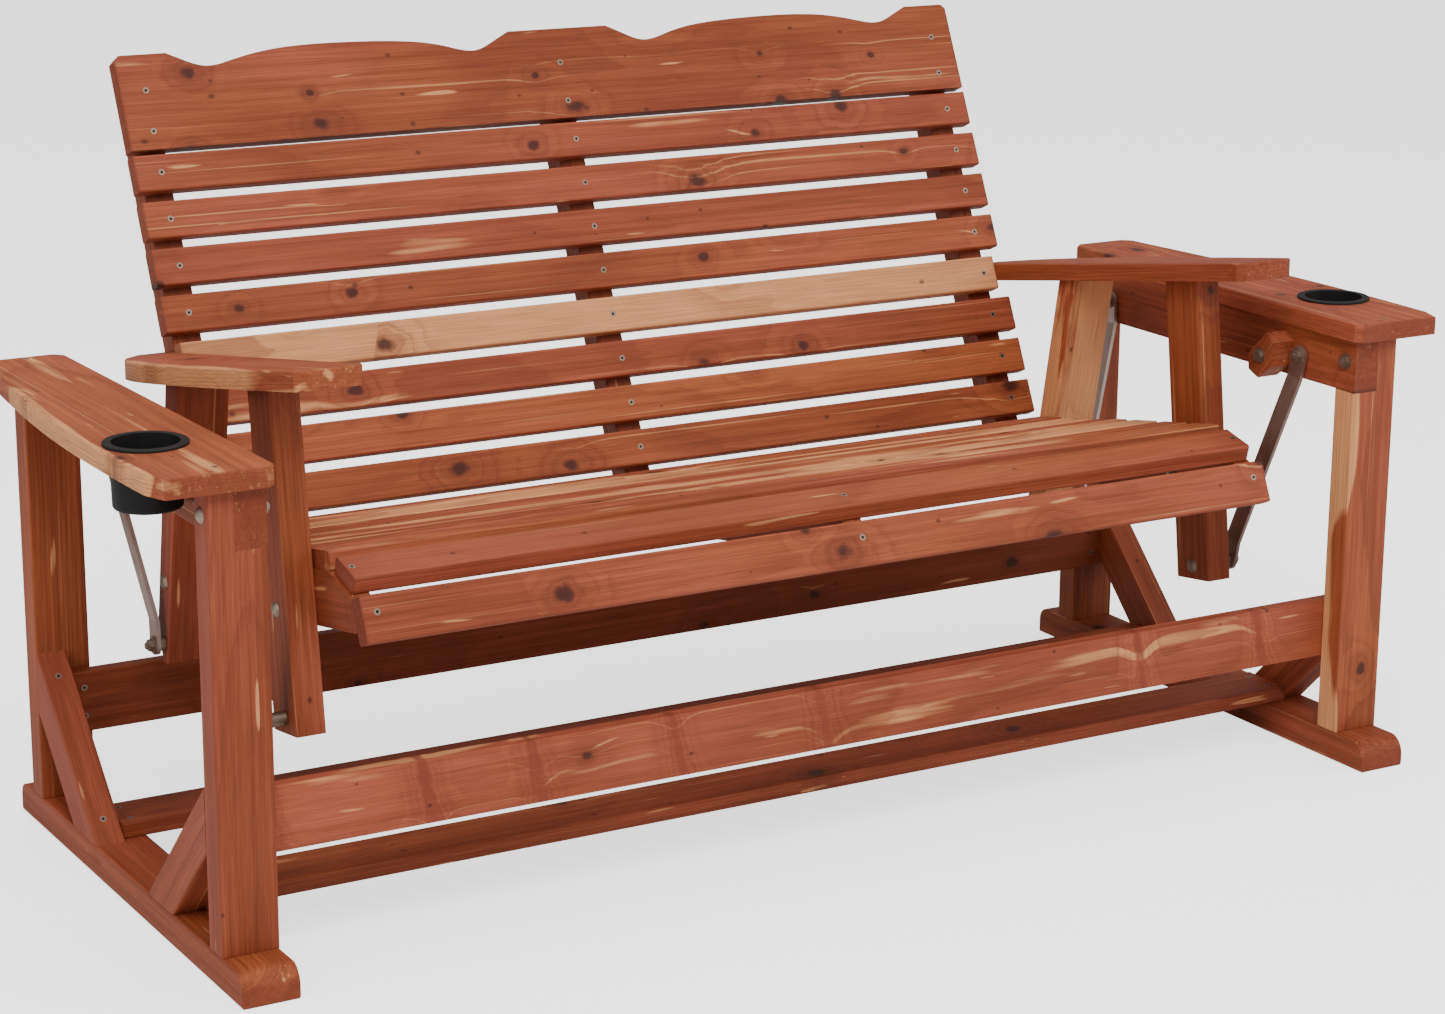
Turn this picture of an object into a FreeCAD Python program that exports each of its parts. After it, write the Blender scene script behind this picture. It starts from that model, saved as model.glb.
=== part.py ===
"""Two-seat cedar glider bench: a fixed base frame and a seat hung on four steel links.

Units are millimetres.  X runs along the bench, Y from front to back, Z up.
Everything is drawn with Y = 0 near the front of the feet; the finished parts are
moved once, at the end, so that the origin is the bottom centre of the bench.
"""
import FreeCAD, Part
import math
import os

V = FreeCAD.Vector

# ---------------------------------------------------------------- base frame
HALF_WIDTH = 803.5        # centre to the outer face of the feet and posts
POST_W = 67.0             # post width, seen from the front
STOCK = 37.0              # thickness of the heavy stock
POST_REST = POST_W - STOCK  # post width left beside the let-in side rail
RAIL_IN = HALF_WIDTH - POST_W   # inner face of posts and side rails
FOOT_H = 38.0
FOOT_FRONT = -6.0
FOOT_NOSE_R = 24.0
FOOT_HEEL_R = 18.0
FRONT_POST_Y = 48.0       # front face of the front posts
REAR_POST_Y = 624.0       # front face of the rear posts
FOOT_REAR = REAR_POST_Y + 81.0
POST_TOP = 557.0
RAIL_H = 68.0
BRACE_W = 54.0
BRACE_FOOT = 185.5        # how far a knee brace reaches along the foot, and up the post
EASE = 2.5                # eased edge radius on the heavy stock

# stretchers between the two side frames
THIN = 19.0               # thin board thickness
BOARD_W = 76.0            # thin board width
FRONT_BOARD_Z = 133.0     # bottom of the upper front stretcher
REAR_BOARD_Z = 122.0      # bottom of the upper rear stretcher
LOW_BOARD_INSET = 102.0   # post face to the near edge of a foot stretcher

# outer arms and cup holders
ARM_T = 23.0
OUTER_ARM_INNER_X = RAIL_IN - 7.5
OUTER_ARM_FRONT = 34.0
OUTER_ARM_REAR = REAR_POST_Y + STOCK + 1.0
OUTER_ARM_SWELL = (HALF_WIDTH + 49.5, HALF_WIDTH + 60.5, HALF_WIDTH + 64.5, HALF_WIDTH + 64.5,
                   HALF_WIDTH + 57.5, HALF_WIDTH + 44.5, HALF_WIDTH + 34.5)
CUP_Y = 188.0
CUP_R = 39.5              # outer radius of the cup body
CUP_X = RAIL_IN + STOCK + CUP_R + 2.0
CUP_RIM_R = CUP_R + 7.0
CUP_RIM_T = 3.0
CUP_WALL = 2.5
CUP_DEPTH = 70.0          # below the top of the arm

# swing links
LINK_W = 25.0
LINK_T = 5.0
LINK_END = 14.0           # link material beyond each pivot centre
LINK_TOP_X = RAIL_IN - 5.5       # middle of the strap at the rail
LINK_LOW_X = RAIL_IN - 54.5      # middle of the strap at the seat
LINK_CRANK = 30.0         # straight length beside each pivot before the set in the strap
TOP_FRONT_PIVOT = (150.0, POST_TOP - 37.0)
TOP_REAR_PIVOT = (555.0, POST_TOP - 37.0)
LOW_FRONT_PIVOT = (211.5, 239.0)
LOW_REAR_PIVOT = (543.0, 239.0)
BOLT_R = 4.0
PIVOT_FIT = 0.05          # radial play of a strap on its bolt
OPEN_FIT = 1.8            # radial play at the lower rear bolts

# ---------------------------------------------------------------- seat
SEAT_TILT = 10.0          # front edge up
BACK_LEAN = 24.8          # from the vertical
SEAT_FRONT = (166.0, 439.0)   # top front edge of the first flat seat slat
BACK_FOOT = (557.2, 376.0)    # lower front edge of the lowest back slat
SLAT_T = 22.0
SLAT_EASE = 3.0
SEAT_SLAT_W = 52.0
SEAT_GAP = 13.0
SEAT_DEPTH = 380.0        # flat part of the seat, covered by whole slats
NOTCH_DEPTH = 300.0       # slats beyond this stop short of the rear arm supports
SEAT_SLATS = int((SEAT_DEPTH + SEAT_GAP) // (SEAT_SLAT_W + SEAT_GAP))
SEAT_HALF = RAIL_IN - 118.5
REAR_SLAT_HALF = SEAT_HALF - 14.5
NOSE_W = 49.5
NOSE_DROP = 14.3          # forward fall of the nosing slat
NOSE_REAR = (149.0, 437.0)
FASCIA_H = 53.1
FASCIA_LEAN = 24.0
FASCIA_TOP = (81.3, 410.1)
NOSE_HALF = SEAT_HALF - 2.0
FASCIA_HALF = SEAT_HALF + 2.0
BACK_SLAT_W = 46.5
BACK_PITCH = 59.2
BACK_HALF = SEAT_HALF - 8.0
SHORT_HALF = SEAT_HALF - 21.5   # half length of a slat that meets the arms
CREST_FOOT = 467.0        # lower edge of the crest board, measured up the back
CREST_TOP = 588.0
CREST_HALF = BACK_HALF
BACK_SLATS = int((CREST_FOOT - BACK_SLAT_W) // BACK_PITCH) + 1
# half outline of the crest: (share of the half width, distance below the top)
CREST_CURVE = [(0.118, 0), (0.161, 13), (0.200, 22), (0.270, 14), (0.385, 3), (0.525, 0),
               (0.656, 3), (0.746, 13), (0.815, 19), (0.852, 11), (0.890, 0)]
RIB_OUT = SEAT_HALF + 2.5       # outer face of the side ribs
RIB_T = 25.0
RIB_DEPTH = 64.0
CENTRE_BACK_X = -5.0
BACK_DEPTH = 38.0
BACK_LOW = -92.0          # lower end of the back supports, measured up the back
BACK_HIGH = CREST_TOP - 16.0

# arms of the seat and their supports
SUPPORT_X = RIB_OUT + 18.0      # both supports of a side are centred here
SUPPORT_W = 66.0
SUPPORT_T = 36.0
ARM_FALL = 9.6           # the arm falls toward the back
ARM_AT = (226.0, 616.0)   # underside of the arm above the front support
FRONT_SUP_TOP = (227.5, 616.0)   # front edge of the front support
FRONT_SUP_LOW = (176.3, 226.0)
REAR_SUP_TOP = (468.0, 573.0)    # front face of the rear support
REAR_SUP_SLOPE = 0.18
REAR_SUP_END = 216.0

STOP_T = 32.0             # thickness of the stop blocks

# hardware
SCREW_HEAD_R = 4.0
SCREW_HEAD_T = 2.4
SCREW_R = 2.1
BRACE_SCREW_IN = 24.0       # from the end of a brace to its screw, along the foot or post
HEAD_R = 9.5
HEAD_T = 5.0
NUT_R = 7.5
NUT_T = 7.0


# ---------------------------------------------------------------- helpers
def rounded_rect(width, thick, radius):
    """Face in the local YZ plane, centred, with eased corners."""
    y, z, r = width / 2.0, thick / 2.0, radius
    c = r * (1.0 - math.sqrt(0.5))
    edges = []
    corners = [(y, -z), (y, z), (-y, z), (-y, -z)]
    steps = [((0, 1), (0, 1)), ((-1, 0), (-1, 0)), ((0, -1), (0, -1)), ((1, 0), (1, 0))]
    points = []
    for (cy, cz), (d, _) in zip(corners, steps):
        back = (-d[1], d[0])
        start = V(0, cy + back[0] * r, cz + back[1] * r)
        end = V(0, cy + d[0] * r, cz + d[1] * r)
        mid = V(0, cy - math.copysign(c, cy), cz - math.copysign(c, cz))
        points.append((start, mid, end))
    for i, (start, mid, end) in enumerate(points):
        edges.append(Part.Arc(start, mid, end).toShape())
        edges.append(Part.makeLine(end, points[(i + 1) % 4][0]))
    return Part.Face(Part.Wire(edges))


def frame(origin, along, wide):
    """Placement whose local X, Y, Z are along, wide and their cross product."""
    a = V(*along).normalize()
    w = V(*wide).normalize()
    n = a.cross(w)
    return FreeCAD.Placement(FreeCAD.Matrix(
        a.x, w.x, n.x, origin[0],
        a.y, w.y, n.y, origin[1],
        a.z, w.z, n.z, origin[2],
        0, 0, 0, 1))


def stick(start, end, wide, width, thick, radius=EASE):
    """Eased board whose centre line runs from start to end."""
    s, e = V(*start), V(*end)
    solid = rounded_rect(width, thick, radius).extrude(V((e - s).Length, 0, 0))
    solid.Placement = frame(start, tuple(e - s), wide)
    return solid


def prism(points, x0, x1):
    """Solid with the outline points, given as (y, z), between two X planes."""
    corners = [V(x0, y, z) for y, z in points]
    wire = Part.makePolygon(corners + corners[:1])
    return Part.Face(wire).extrude(V(x1 - x0, 0, 0))


def block(x0, x1, y0, y1, z0, z1):
    return Part.makeBox(x1 - x0, y1 - y0, z1 - z0, V(x0, y0, z0))


def rod(x0, x1, y, z, radius):
    return Part.makeCylinder(radius, x1 - x0, V(x0, y, z), V(1, 0, 0))


def hexagon(x0, x1, y, z, radius):
    corners = [(y + radius * math.cos(math.radians(60 * i)),
                z + radius * math.sin(math.radians(60 * i))) for i in range(6)]
    return prism(corners, x0, x1)


def dome(x, y, z, radius, height, sign):
    """Carriage bolt head standing off the plane X = x."""
    ball_r = (radius ** 2 + height ** 2) / (2.0 * height)
    half = 0.5 * math.asin(radius / ball_r)
    centre = x + sign * (height - ball_r)
    rim = V(x, y + radius, z)
    mid = V(centre + sign * ball_r * math.cos(half), y + ball_r * math.sin(half), z)
    top = V(x + sign * height, y, z)
    foot = V(x, y, z)
    profile = Part.Wire([Part.Arc(rim, mid, top).toShape(), Part.makeLine(top, foot),
                         Part.makeLine(foot, rim)])
    return Part.Face(profile).revolve(foot, V(1, 0, 0), 360)


def mirrored(shape):
    return shape.mirror(V(0, 0, 0), V(1, 0, 0))


def fused(pieces):
    return pieces[0].multiFuse(pieces[1:]).removeSplitter()


def screw(x, y, z, direction, length):
    """Countersunk screw; (x, y, z) is the middle of the head's face."""
    d = V(*direction).normalize()
    top = V(x, y, z)
    head = Part.makeCylinder(SCREW_HEAD_R, SCREW_HEAD_T, top, d)
    body = Part.makeCylinder(SCREW_R, length, top, d)
    recess = Part.makeCylinder(1.7, 1.2, top, d)
    return head.fuse(body).removeSplitter(), recess


class Bench:
    """Collects the finished solids of every node."""

    def __init__(self):
        self.nodes = {}
        self.screws = {"frame_screws": [], "seat_screws": []}

    def add(self, name, *solids):
        self.nodes.setdefault(name, []).extend(solids)

    def add_pair(self, name, solid):
        self.add(name + "_right", solid)
        self.add(name + "_left", mirrored(solid))

    def add_both(self, name, solid):
        self.add(name, solid, mirrored(solid))

    def drive(self, group, x, y, z, direction, length, through):
        """Sink a screw and clear its hole in every node it passes through."""
        body, recess = screw(x, y, z, direction, length)
        self.screws[group].append(body.cut(recess))
        for name in through:
            self.screws.setdefault(name, []).append(body)

    def finish(self):
        for name, bodies in self.screws.items():
            if name in ("frame_screws", "seat_screws"):
                self.nodes[name] = bodies
                continue
            cutter = Part.makeCompound(bodies)
            self.nodes[name] = [s.cut(cutter) for s in self.nodes[name]]


bench = Bench()
sin_t, cos_t = math.sin(math.radians(SEAT_TILT)), math.cos(math.radians(SEAT_TILT))
sin_b, cos_b = math.sin(math.radians(BACK_LEAN)), math.cos(math.radians(BACK_LEAN))
inner_x = RAIL_IN
brace_x = HALF_WIDTH - STOCK
depth_sum = FRONT_POST_Y + STOCK + REAR_POST_Y   # mirror of y is depth_sum - y


def seat_point(back, up):
    """World (y, z) of a point measured back along the seat and up from it."""
    return (SEAT_FRONT[0] + back * cos_t + up * sin_t,
            SEAT_FRONT[1] - back * sin_t + up * cos_t)


def arm_underside(y):
    """Height of the seat arm's lower face above a depth y."""
    return ARM_AT[1] - math.tan(math.radians(ARM_FALL)) * (y - ARM_AT[0])


def back_point(up, out):
    """World (y, z) of a point measured up the back and out from its face."""
    return (BACK_FOOT[0] + up * sin_b - out * cos_b,
            BACK_FOOT[1] + up * cos_b + out * sin_b)


# ---------------------------------------------------------------- side frames
def make_foot():
    foot = stick((HALF_WIDTH - POST_W / 2, FOOT_FRONT, FOOT_H / 2),
                 (HALF_WIDTH - POST_W / 2, FOOT_REAR, FOOT_H / 2), (1, 0, 0), POST_W, FOOT_H)
    for y_end, r, sign in ((FOOT_FRONT, FOOT_NOSE_R, 1), (FOOT_REAR, FOOT_HEEL_R, -1)):
        y_axis = y_end + sign * r
        lo, hi = min(y_end, y_axis), max(y_end, y_axis)
        corner = block(inner_x, HALF_WIDTH, lo, hi, FOOT_H - r, FOOT_H)
        foot = foot.cut(corner.cut(rod(inner_x, HALF_WIDTH, y_axis, FOOT_H - r, r)))
    return foot


def make_post(y_front):
    post = stick((HALF_WIDTH - POST_W / 2, y_front + STOCK / 2, FOOT_H),
                 (HALF_WIDTH - POST_W / 2, y_front + STOCK / 2, POST_TOP),
                 (1, 0, 0), POST_W, STOCK)
    lap = block(inner_x - 1, inner_x + STOCK, y_front - 1, y_front + STOCK + 1,
                POST_TOP - RAIL_H, POST_TOP + 1)
    return post.cut(lap)


def make_brace(front):
    """Knee brace at 45 degrees, cut to sit on the foot and against the post."""
    post_face = FRONT_POST_Y + STOCK
    reach = BRACE_FOOT - BRACE_W * math.sqrt(0.5)
    x = HALF_WIDTH - STOCK / 2
    line = stick((x, post_face - 60, FOOT_H + reach + 60),
                 (x, post_face + reach + 60, FOOT_H - 60), (0, 1, 1), BRACE_W, STOCK)
    line = line.common(block(brace_x, HALF_WIDTH, post_face, post_face + 400,
                             FOOT_H, FOOT_H + 400))
    if front:
        return line
    return line.mirror(V(0, depth_sum / 2.0, 0), V(0, 1, 0))


rail_z = POST_TOP - RAIL_H / 2
bench.add_pair("foot", make_foot())
bench.add_pair("post_front", make_post(FRONT_POST_Y))
bench.add_pair("post_rear", make_post(REAR_POST_Y))
bench.add_pair("side_rail", stick((inner_x + STOCK / 2, FRONT_POST_Y, rail_z),
                                  (inner_x + STOCK / 2, REAR_POST_Y + STOCK, rail_z),
                                  (0, 0, 1), RAIL_H, STOCK))
bench.add_pair("brace_front", make_brace(True))
bench.add_pair("brace_rear", make_brace(False))


# ---------------------------------------------------------------- stretchers
def cross_board(y, z, wide, width, thick, half, radius=2.0):
    return stick((-half, y, z), (half, y, z), wide, width, thick, radius)


front_face = FRONT_POST_Y + STOCK
low_y = front_face + LOW_BOARD_INSET + BOARD_W / 2
bench.add("stretcher_front_upper",
          cross_board(front_face + THIN / 2, FRONT_BOARD_Z + BOARD_W / 2, (0, 0, 1),
                      BOARD_W, THIN, brace_x))
bench.add("stretcher_rear_upper",
          cross_board(REAR_POST_Y - THIN / 2, REAR_BOARD_Z + BOARD_W / 2, (0, 0, 1),
                      BOARD_W, THIN, brace_x))
bench.add("stretcher_front_lower",
          cross_board(low_y, FOOT_H + THIN / 2, (0, 1, 0), BOARD_W, THIN, brace_x))
bench.add("stretcher_rear_lower",
          cross_board(depth_sum - low_y, FOOT_H + THIN / 2, (0, 1, 0), BOARD_W, THIN, brace_x))


# ---------------------------------------------------------------- outer arms
def make_outer_arm():
    """Flat arm: straight inner edge, swelling outer edge, hole for the cup holder."""
    z = POST_TOP
    length = OUTER_ARM_REAR - OUTER_ARM_FRONT
    stations = (0.0, 30.0, 0.22 * length, 0.41 * length, 0.63 * length, 0.84 * length,
                length - 12.0)
    edge = [(x, OUTER_ARM_FRONT + y) for x, y in zip(OUTER_ARM_SWELL, stations)]
    swell = Part.BSplineCurve()
    swell.interpolate([V(x, y, z) for x, y in edge[1:]])
    x_in = OUTER_ARM_INNER_X
    corners = [V(edge[-1][0], edge[-1][1], z), V(edge[-1][0] - 12, OUTER_ARM_REAR, z),
               V(x_in + 24, OUTER_ARM_REAR, z), V(x_in + 12, OUTER_ARM_REAR - 12, z),
               V(x_in, OUTER_ARM_FRONT + 10, z), V(x_in + 8, OUTER_ARM_FRONT, z),
               V(edge[0][0], edge[0][1], z), V(edge[1][0], edge[1][1], z)]
    sides = [Part.makeLine(a, b) for a, b in zip(corners, corners[1:])]
    arm = Part.Face(Part.Wire([swell.toShape()] + sides)).extrude(V(0, 0, ARM_T))
    top = [e for e in arm.Edges if abs(e.BoundBox.ZMin - z - ARM_T) < 0.01
           and e.BoundBox.ZLength < 0.01]
    arm = arm.makeFillet(EASE, top)
    return arm.cut(Part.makeCylinder(CUP_R, ARM_T, V(CUP_X, CUP_Y, z), V(0, 0, 1)))


def make_cup():
    """Plastic cup: open top, thin wall, flange lying on the arm."""
    top = POST_TOP + ARM_T
    at = V(CUP_X, CUP_Y, 0)
    outer = Part.makeCone(CUP_R - 1.5, CUP_R, CUP_DEPTH, at + V(0, 0, top - CUP_DEPTH))
    outer = outer.makeFillet(4.0, [e for e in outer.Edges
                                   if e.BoundBox.ZMax < top - CUP_DEPTH + 0.01])
    rim = Part.makeCylinder(CUP_RIM_R, CUP_RIM_T, at + V(0, 0, top))
    rim = rim.makeFillet(1.2, [e for e in rim.Edges if e.BoundBox.ZMin > top + 1])
    hollow = Part.makeCone(CUP_R - 1.5 - CUP_WALL, CUP_R - CUP_WALL,
                           CUP_DEPTH + CUP_RIM_T, at + V(0, 0, top - CUP_DEPTH + CUP_WALL))
    drain = Part.makeCylinder(4.0, 10, at + V(0, 0, top - CUP_DEPTH - 1))
    return outer.fuse(rim).removeSplitter().cut(hollow).cut(drain)


bench.add_pair("outer_arm", make_outer_arm())
bench.add_pair("cup_holder", make_cup())


# ---------------------------------------------------------------- stop blocks
def make_stop():
    """Chunk of stock behind the front link; the strap meets it past the swing limit."""
    y, z = TOP_FRONT_PIVOT
    outline = [(y + 23, z - 17), (y + 19, z + 15), (y + 35, z + 26), (y + 71, z - 9),
               (y + 68, z - 28), (y + 49, z - 36)]
    return prism(outline, inner_x - STOP_T, inner_x)


bench.add_pair("stop_block", make_stop())


# ---------------------------------------------------------------- links
def make_link(top, low, low_play):
    """Flat strap, set inward between its two straight pivot ends."""
    dy, dz = low[0] - top[0], low[1] - top[1]
    span = math.hypot(dy, dz)
    xs = [(LINK_TOP_X, LINK_END), (LINK_TOP_X, -LINK_CRANK),
          (LINK_LOW_X, -span + LINK_CRANK), (LINK_LOW_X, -span - LINK_END)]
    t = LINK_T / 2
    side = [V(x + t, -LINK_W / 2, z) for x, z in xs]
    other = [V(x - t, -LINK_W / 2, z) for x, z in reversed(xs)]
    wire = Part.makePolygon(side + other + side[:1])
    strap = Part.Face(wire).extrude(V(0, LINK_W, 0))
    lo, hi = LINK_LOW_X - 10, LINK_TOP_X + 10
    shape = fused([rod(lo, hi, 0, 0, LINK_W / 2),
                   block(lo, hi, -LINK_W / 2, LINK_W / 2, -span, 0),
                   rod(lo, hi, 0, -span, LINK_W / 2)])
    strap = strap.common(shape)
    strap = strap.cut(rod(lo, hi, 0, 0, BOLT_R + PIVOT_FIT))
    strap = strap.cut(rod(lo, hi, 0, -span, BOLT_R + low_play))
    strap.rotate(V(0, 0, 0), V(1, 0, 0), math.degrees(math.atan2(dy, -dz)))
    strap.translate(V(0, top[0], top[1]))
    return strap


bench.add_pair("link_front", make_link(TOP_FRONT_PIVOT, LOW_FRONT_PIVOT, PIVOT_FIT))
bench.add_pair("link_rear", make_link(TOP_REAR_PIVOT, LOW_REAR_PIVOT, OPEN_FIT))


# ---------------------------------------------------------------- seat frame
def nose_frame():
    """Unit vectors of the nosing slat: forward along its face, and up out of it."""
    a = math.radians(NOSE_DROP)
    return (-math.cos(a), -math.sin(a)), (-math.sin(a), math.cos(a))


def fascia_frame():
    """Unit vectors of the front rail: down its face, and forward out of it."""
    a = math.radians(FASCIA_LEAN)
    return (-math.sin(a), -math.cos(a)), (-math.cos(a), math.sin(a))


def rib_outline():
    forward, up = nose_frame()
    down, out = fascia_frame()
    nose_back = (NOSE_REAR[0] - up[0] * SLAT_T, NOSE_REAR[1] - up[1] * SLAT_T)
    nose_front = (nose_back[0] + forward[0] * (NOSE_W - 1), nose_back[1] + forward[1] * (NOSE_W - 1))
    back_top = (FASCIA_TOP[0] - out[0] * SLAT_T, FASCIA_TOP[1] - out[1] * SLAT_T)
    rise = 2.0
    low = 36.0
    return [nose_front, nose_back, seat_point(0, -SLAT_T),
            seat_point(428, -SLAT_T), seat_point(440, -SLAT_T - 14),
            seat_point(440, -SLAT_T - RIB_DEPTH), seat_point(-64, -SLAT_T - RIB_DEPTH),
            (back_top[0] + down[0] * low, back_top[1] + down[1] * low),
            (back_top[0] + down[0] * rise, back_top[1] + down[1] * rise)]


def make_rib(x_mid):
    return prism(rib_outline(), x_mid - RIB_T / 2, x_mid + RIB_T / 2)


def make_back_support(x_mid):
    """Upright behind the slats, bolted to the flank of its rib."""
    mid = -SLAT_T - BACK_DEPTH / 2
    y0, z0 = back_point(BACK_LOW, mid)
    y1, z1 = back_point(BACK_HIGH, mid)
    return stick((x_mid, y0, z0), (x_mid, y1, z1), (0, -cos_b, sin_b), BACK_DEPTH, STOCK)


side_rib_x = RIB_OUT - RIB_T / 2
side_back_x = RIB_OUT - RIB_T - STOCK / 2
centre_rib_x = CENTRE_BACK_X + (STOCK + RIB_T) / 2
bench.add_pair("seat_rib", make_rib(side_rib_x))
bench.add("seat_rib_centre", make_rib(centre_rib_x))
bench.add_pair("back_support", make_back_support(side_back_x))
bench.add("back_support_centre", make_back_support(CENTRE_BACK_X))
rib_names = {"seat_rib_left": -side_rib_x, "seat_rib_centre": centre_rib_x,
             "seat_rib_right": side_rib_x}
support_names = {"back_support_left": -side_back_x, "back_support_centre": CENTRE_BACK_X,
                 "back_support_right": side_back_x}


# ---------------------------------------------------------------- slats
def slat(point, across, width, half, thick=SLAT_T):
    """Cross slat: point is one top edge (y, z), across the direction over its face."""
    dy, dz = across
    normal = (-dz, dy) if dy > 0 else (dz, -dy)
    y = point[0] + dy * width / 2 - normal[0] * thick / 2
    z = point[1] + dz * width / 2 - normal[1] * thick / 2
    return stick((-half, y, z), (half, y, z), (0, dy, dz), width, thick, SLAT_EASE)


def fasten(node, group, face, into, stations, length=40.0):
    """Screw a cross piece to each member named in stations."""
    for member, x in stations.items():
        bench.drive(group, x, face[0], face[1], (0, into[0], into[1]), length, (node, member))


for i in range(SEAT_SLATS):
    name = "seat_slat_%d" % (i + 1)
    start = i * (SEAT_SLAT_W + SEAT_GAP)
    half = REAR_SLAT_HALF if start + SEAT_SLAT_W > NOTCH_DEPTH else SEAT_HALF
    bench.add(name, slat(seat_point(start, 0), (cos_t, -sin_t), SEAT_SLAT_W, half))
    fasten(name, "seat_screws", seat_point(start + SEAT_SLAT_W / 2, 0), (-sin_t, -cos_t),
           {n: max(-half + 4.5, min(half - 4.5, x)) for n, x in rib_names.items()})

nose_dir, nose_up = nose_frame()
bench.add("nosing_slat", slat(NOSE_REAR, nose_dir, NOSE_W, NOSE_HALF))
nose_mid = (NOSE_REAR[0] + nose_dir[0] * NOSE_W / 2, NOSE_REAR[1] + nose_dir[1] * NOSE_W / 2)
fasten("nosing_slat", "seat_screws", nose_mid, (-nose_up[0], -nose_up[1]), rib_names)

fascia_dir, fascia_out = fascia_frame()
fascia = stick((-FASCIA_HALF,
                FASCIA_TOP[0] + fascia_dir[0] * FASCIA_H / 2 - fascia_out[0] * SLAT_T / 2,
                FASCIA_TOP[1] + fascia_dir[1] * FASCIA_H / 2 - fascia_out[1] * SLAT_T / 2),
               (FASCIA_HALF,
                FASCIA_TOP[0] + fascia_dir[0] * FASCIA_H / 2 - fascia_out[0] * SLAT_T / 2,
                FASCIA_TOP[1] + fascia_dir[1] * FASCIA_H / 2 - fascia_out[1] * SLAT_T / 2),
               (0, fascia_dir[0], fascia_dir[1]), FASCIA_H, SLAT_T, SLAT_EASE)
bench.add("front_fascia", fascia)
fascia_mid = (FASCIA_TOP[0] + fascia_dir[0] * 20, FASCIA_TOP[1] + fascia_dir[1] * 20)
fascia_stations = {n: math.copysign(abs(x) - 6.0, x) for n, x in rib_names.items()}
fasten("front_fascia", "seat_screws", fascia_mid, (-fascia_out[0], -fascia_out[1]),
       fascia_stations)

for i in range(BACK_SLATS):
    name = "back_slat_%d" % (i + 1)
    y, z = back_point(i * BACK_PITCH + BACK_SLAT_W / 2, -SLAT_T / 2)
    meets_arm = abs(z - arm_underside(y) - ARM_T / 2) < (BACK_SLAT_W + ARM_T) / 2
    half = SHORT_HALF if meets_arm else BACK_HALF
    bench.add(name, stick((-half, y, z), (half, y, z), (0, sin_b, cos_b),
                          BACK_SLAT_W, SLAT_T, SLAT_EASE))
    fasten(name, "seat_screws", back_point(i * BACK_PITCH + BACK_SLAT_W / 2, 0),
           (cos_b, -sin_b), support_names)


def make_crest():
    """Top board with two long arches between three flat lobes."""
    curve = [V(x * CREST_HALF, CREST_TOP - drop, 0) for x, drop in CREST_CURVE]
    half = Part.BSplineCurve()
    half.interpolate(curve)
    other = Part.BSplineCurve()
    other.interpolate([V(-p.x, p.y, 0) for p in reversed(curve)])
    first, last = curve[0], curve[-1]
    corner = 6.0
    outline = [V(last.x, last.y, 0), V(CREST_HALF - corner, CREST_TOP, 0),
               V(CREST_HALF, CREST_TOP - corner, 0), V(CREST_HALF, CREST_FOOT, 0),
               V(-CREST_HALF, CREST_FOOT, 0), V(-CREST_HALF, CREST_TOP - corner, 0),
               V(-CREST_HALF + corner, CREST_TOP, 0), V(-last.x, last.y, 0)]
    edges = [half.toShape()]
    edges += [Part.makeLine(a, b) for a, b in zip(outline, outline[1:])]
    edges += [other.toShape(), Part.makeLine(V(-first.x, first.y, 0), V(first.x, first.y, 0))]
    board = Part.Face(Part.Wire(edges)).extrude(V(0, 0, -SLAT_T))
    board.Placement = frame((0, BACK_FOOT[0], BACK_FOOT[1]), (1, 0, 0), (0, sin_b, cos_b))
    return board


bench.add("crest_board", make_crest())
for height in (490.0, 542.0):
    fasten("crest_board", "seat_screws", back_point(height, 0), (cos_b, -sin_b), support_names)


# ---------------------------------------------------------------- seat arms
def make_arm():
    """Shaped arm: full width ahead of the back, narrowing to a tail beside the back support."""
    tail_x = side_back_x + STOCK / 2
    inner = SHORT_HALF + 1.0
    back_y = 672.0
    bulge = [(58, 112), (66, 200), (74, 330), (78, 450), (76, 535), (66, 600), (46, 655)]
    outer = [V(SEAT_HALF + x, y, 0) for x, y in bulge]
    swell = Part.BSplineCurve()
    swell.interpolate(outer)
    corners = [outer[-1], V(SEAT_HALF + 18, 690, 0), V(tail_x, 690, 0), V(tail_x, back_y, 0),
               V(inner, back_y, 0), V(inner, 140, 0), V(inner - 3.5, 116, 0),
               V(inner + 2.5, 104, 0), V(SEAT_HALF + 42, 98, 0), outer[0]]
    sides = [Part.makeLine(p, q) for p, q in zip(corners, corners[1:])]
    plan = Part.Face(Part.Wire([swell.toShape()] + sides))
    arm = plan.extrude(V(0, 0, 900))
    y0, y1 = 60.0, 760.0
    lift = ARM_T / math.cos(math.radians(ARM_FALL))
    z0, z1 = arm_underside(y0), arm_underside(y1)
    arm = arm.common(prism([(y0, z0), (y1, z1), (y1, z1 + lift), (y0, z0 + lift)],
                           tail_x - 50, HALF_WIDTH))
    top = []
    for edge in arm.Edges:
        mid = edge.valueAt((edge.FirstParameter + edge.LastParameter) / 2)
        if abs(mid.z - arm_underside(mid.y) - lift) < 0.05:
            top.append(edge)
    return arm.makeFillet(EASE, top)


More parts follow.
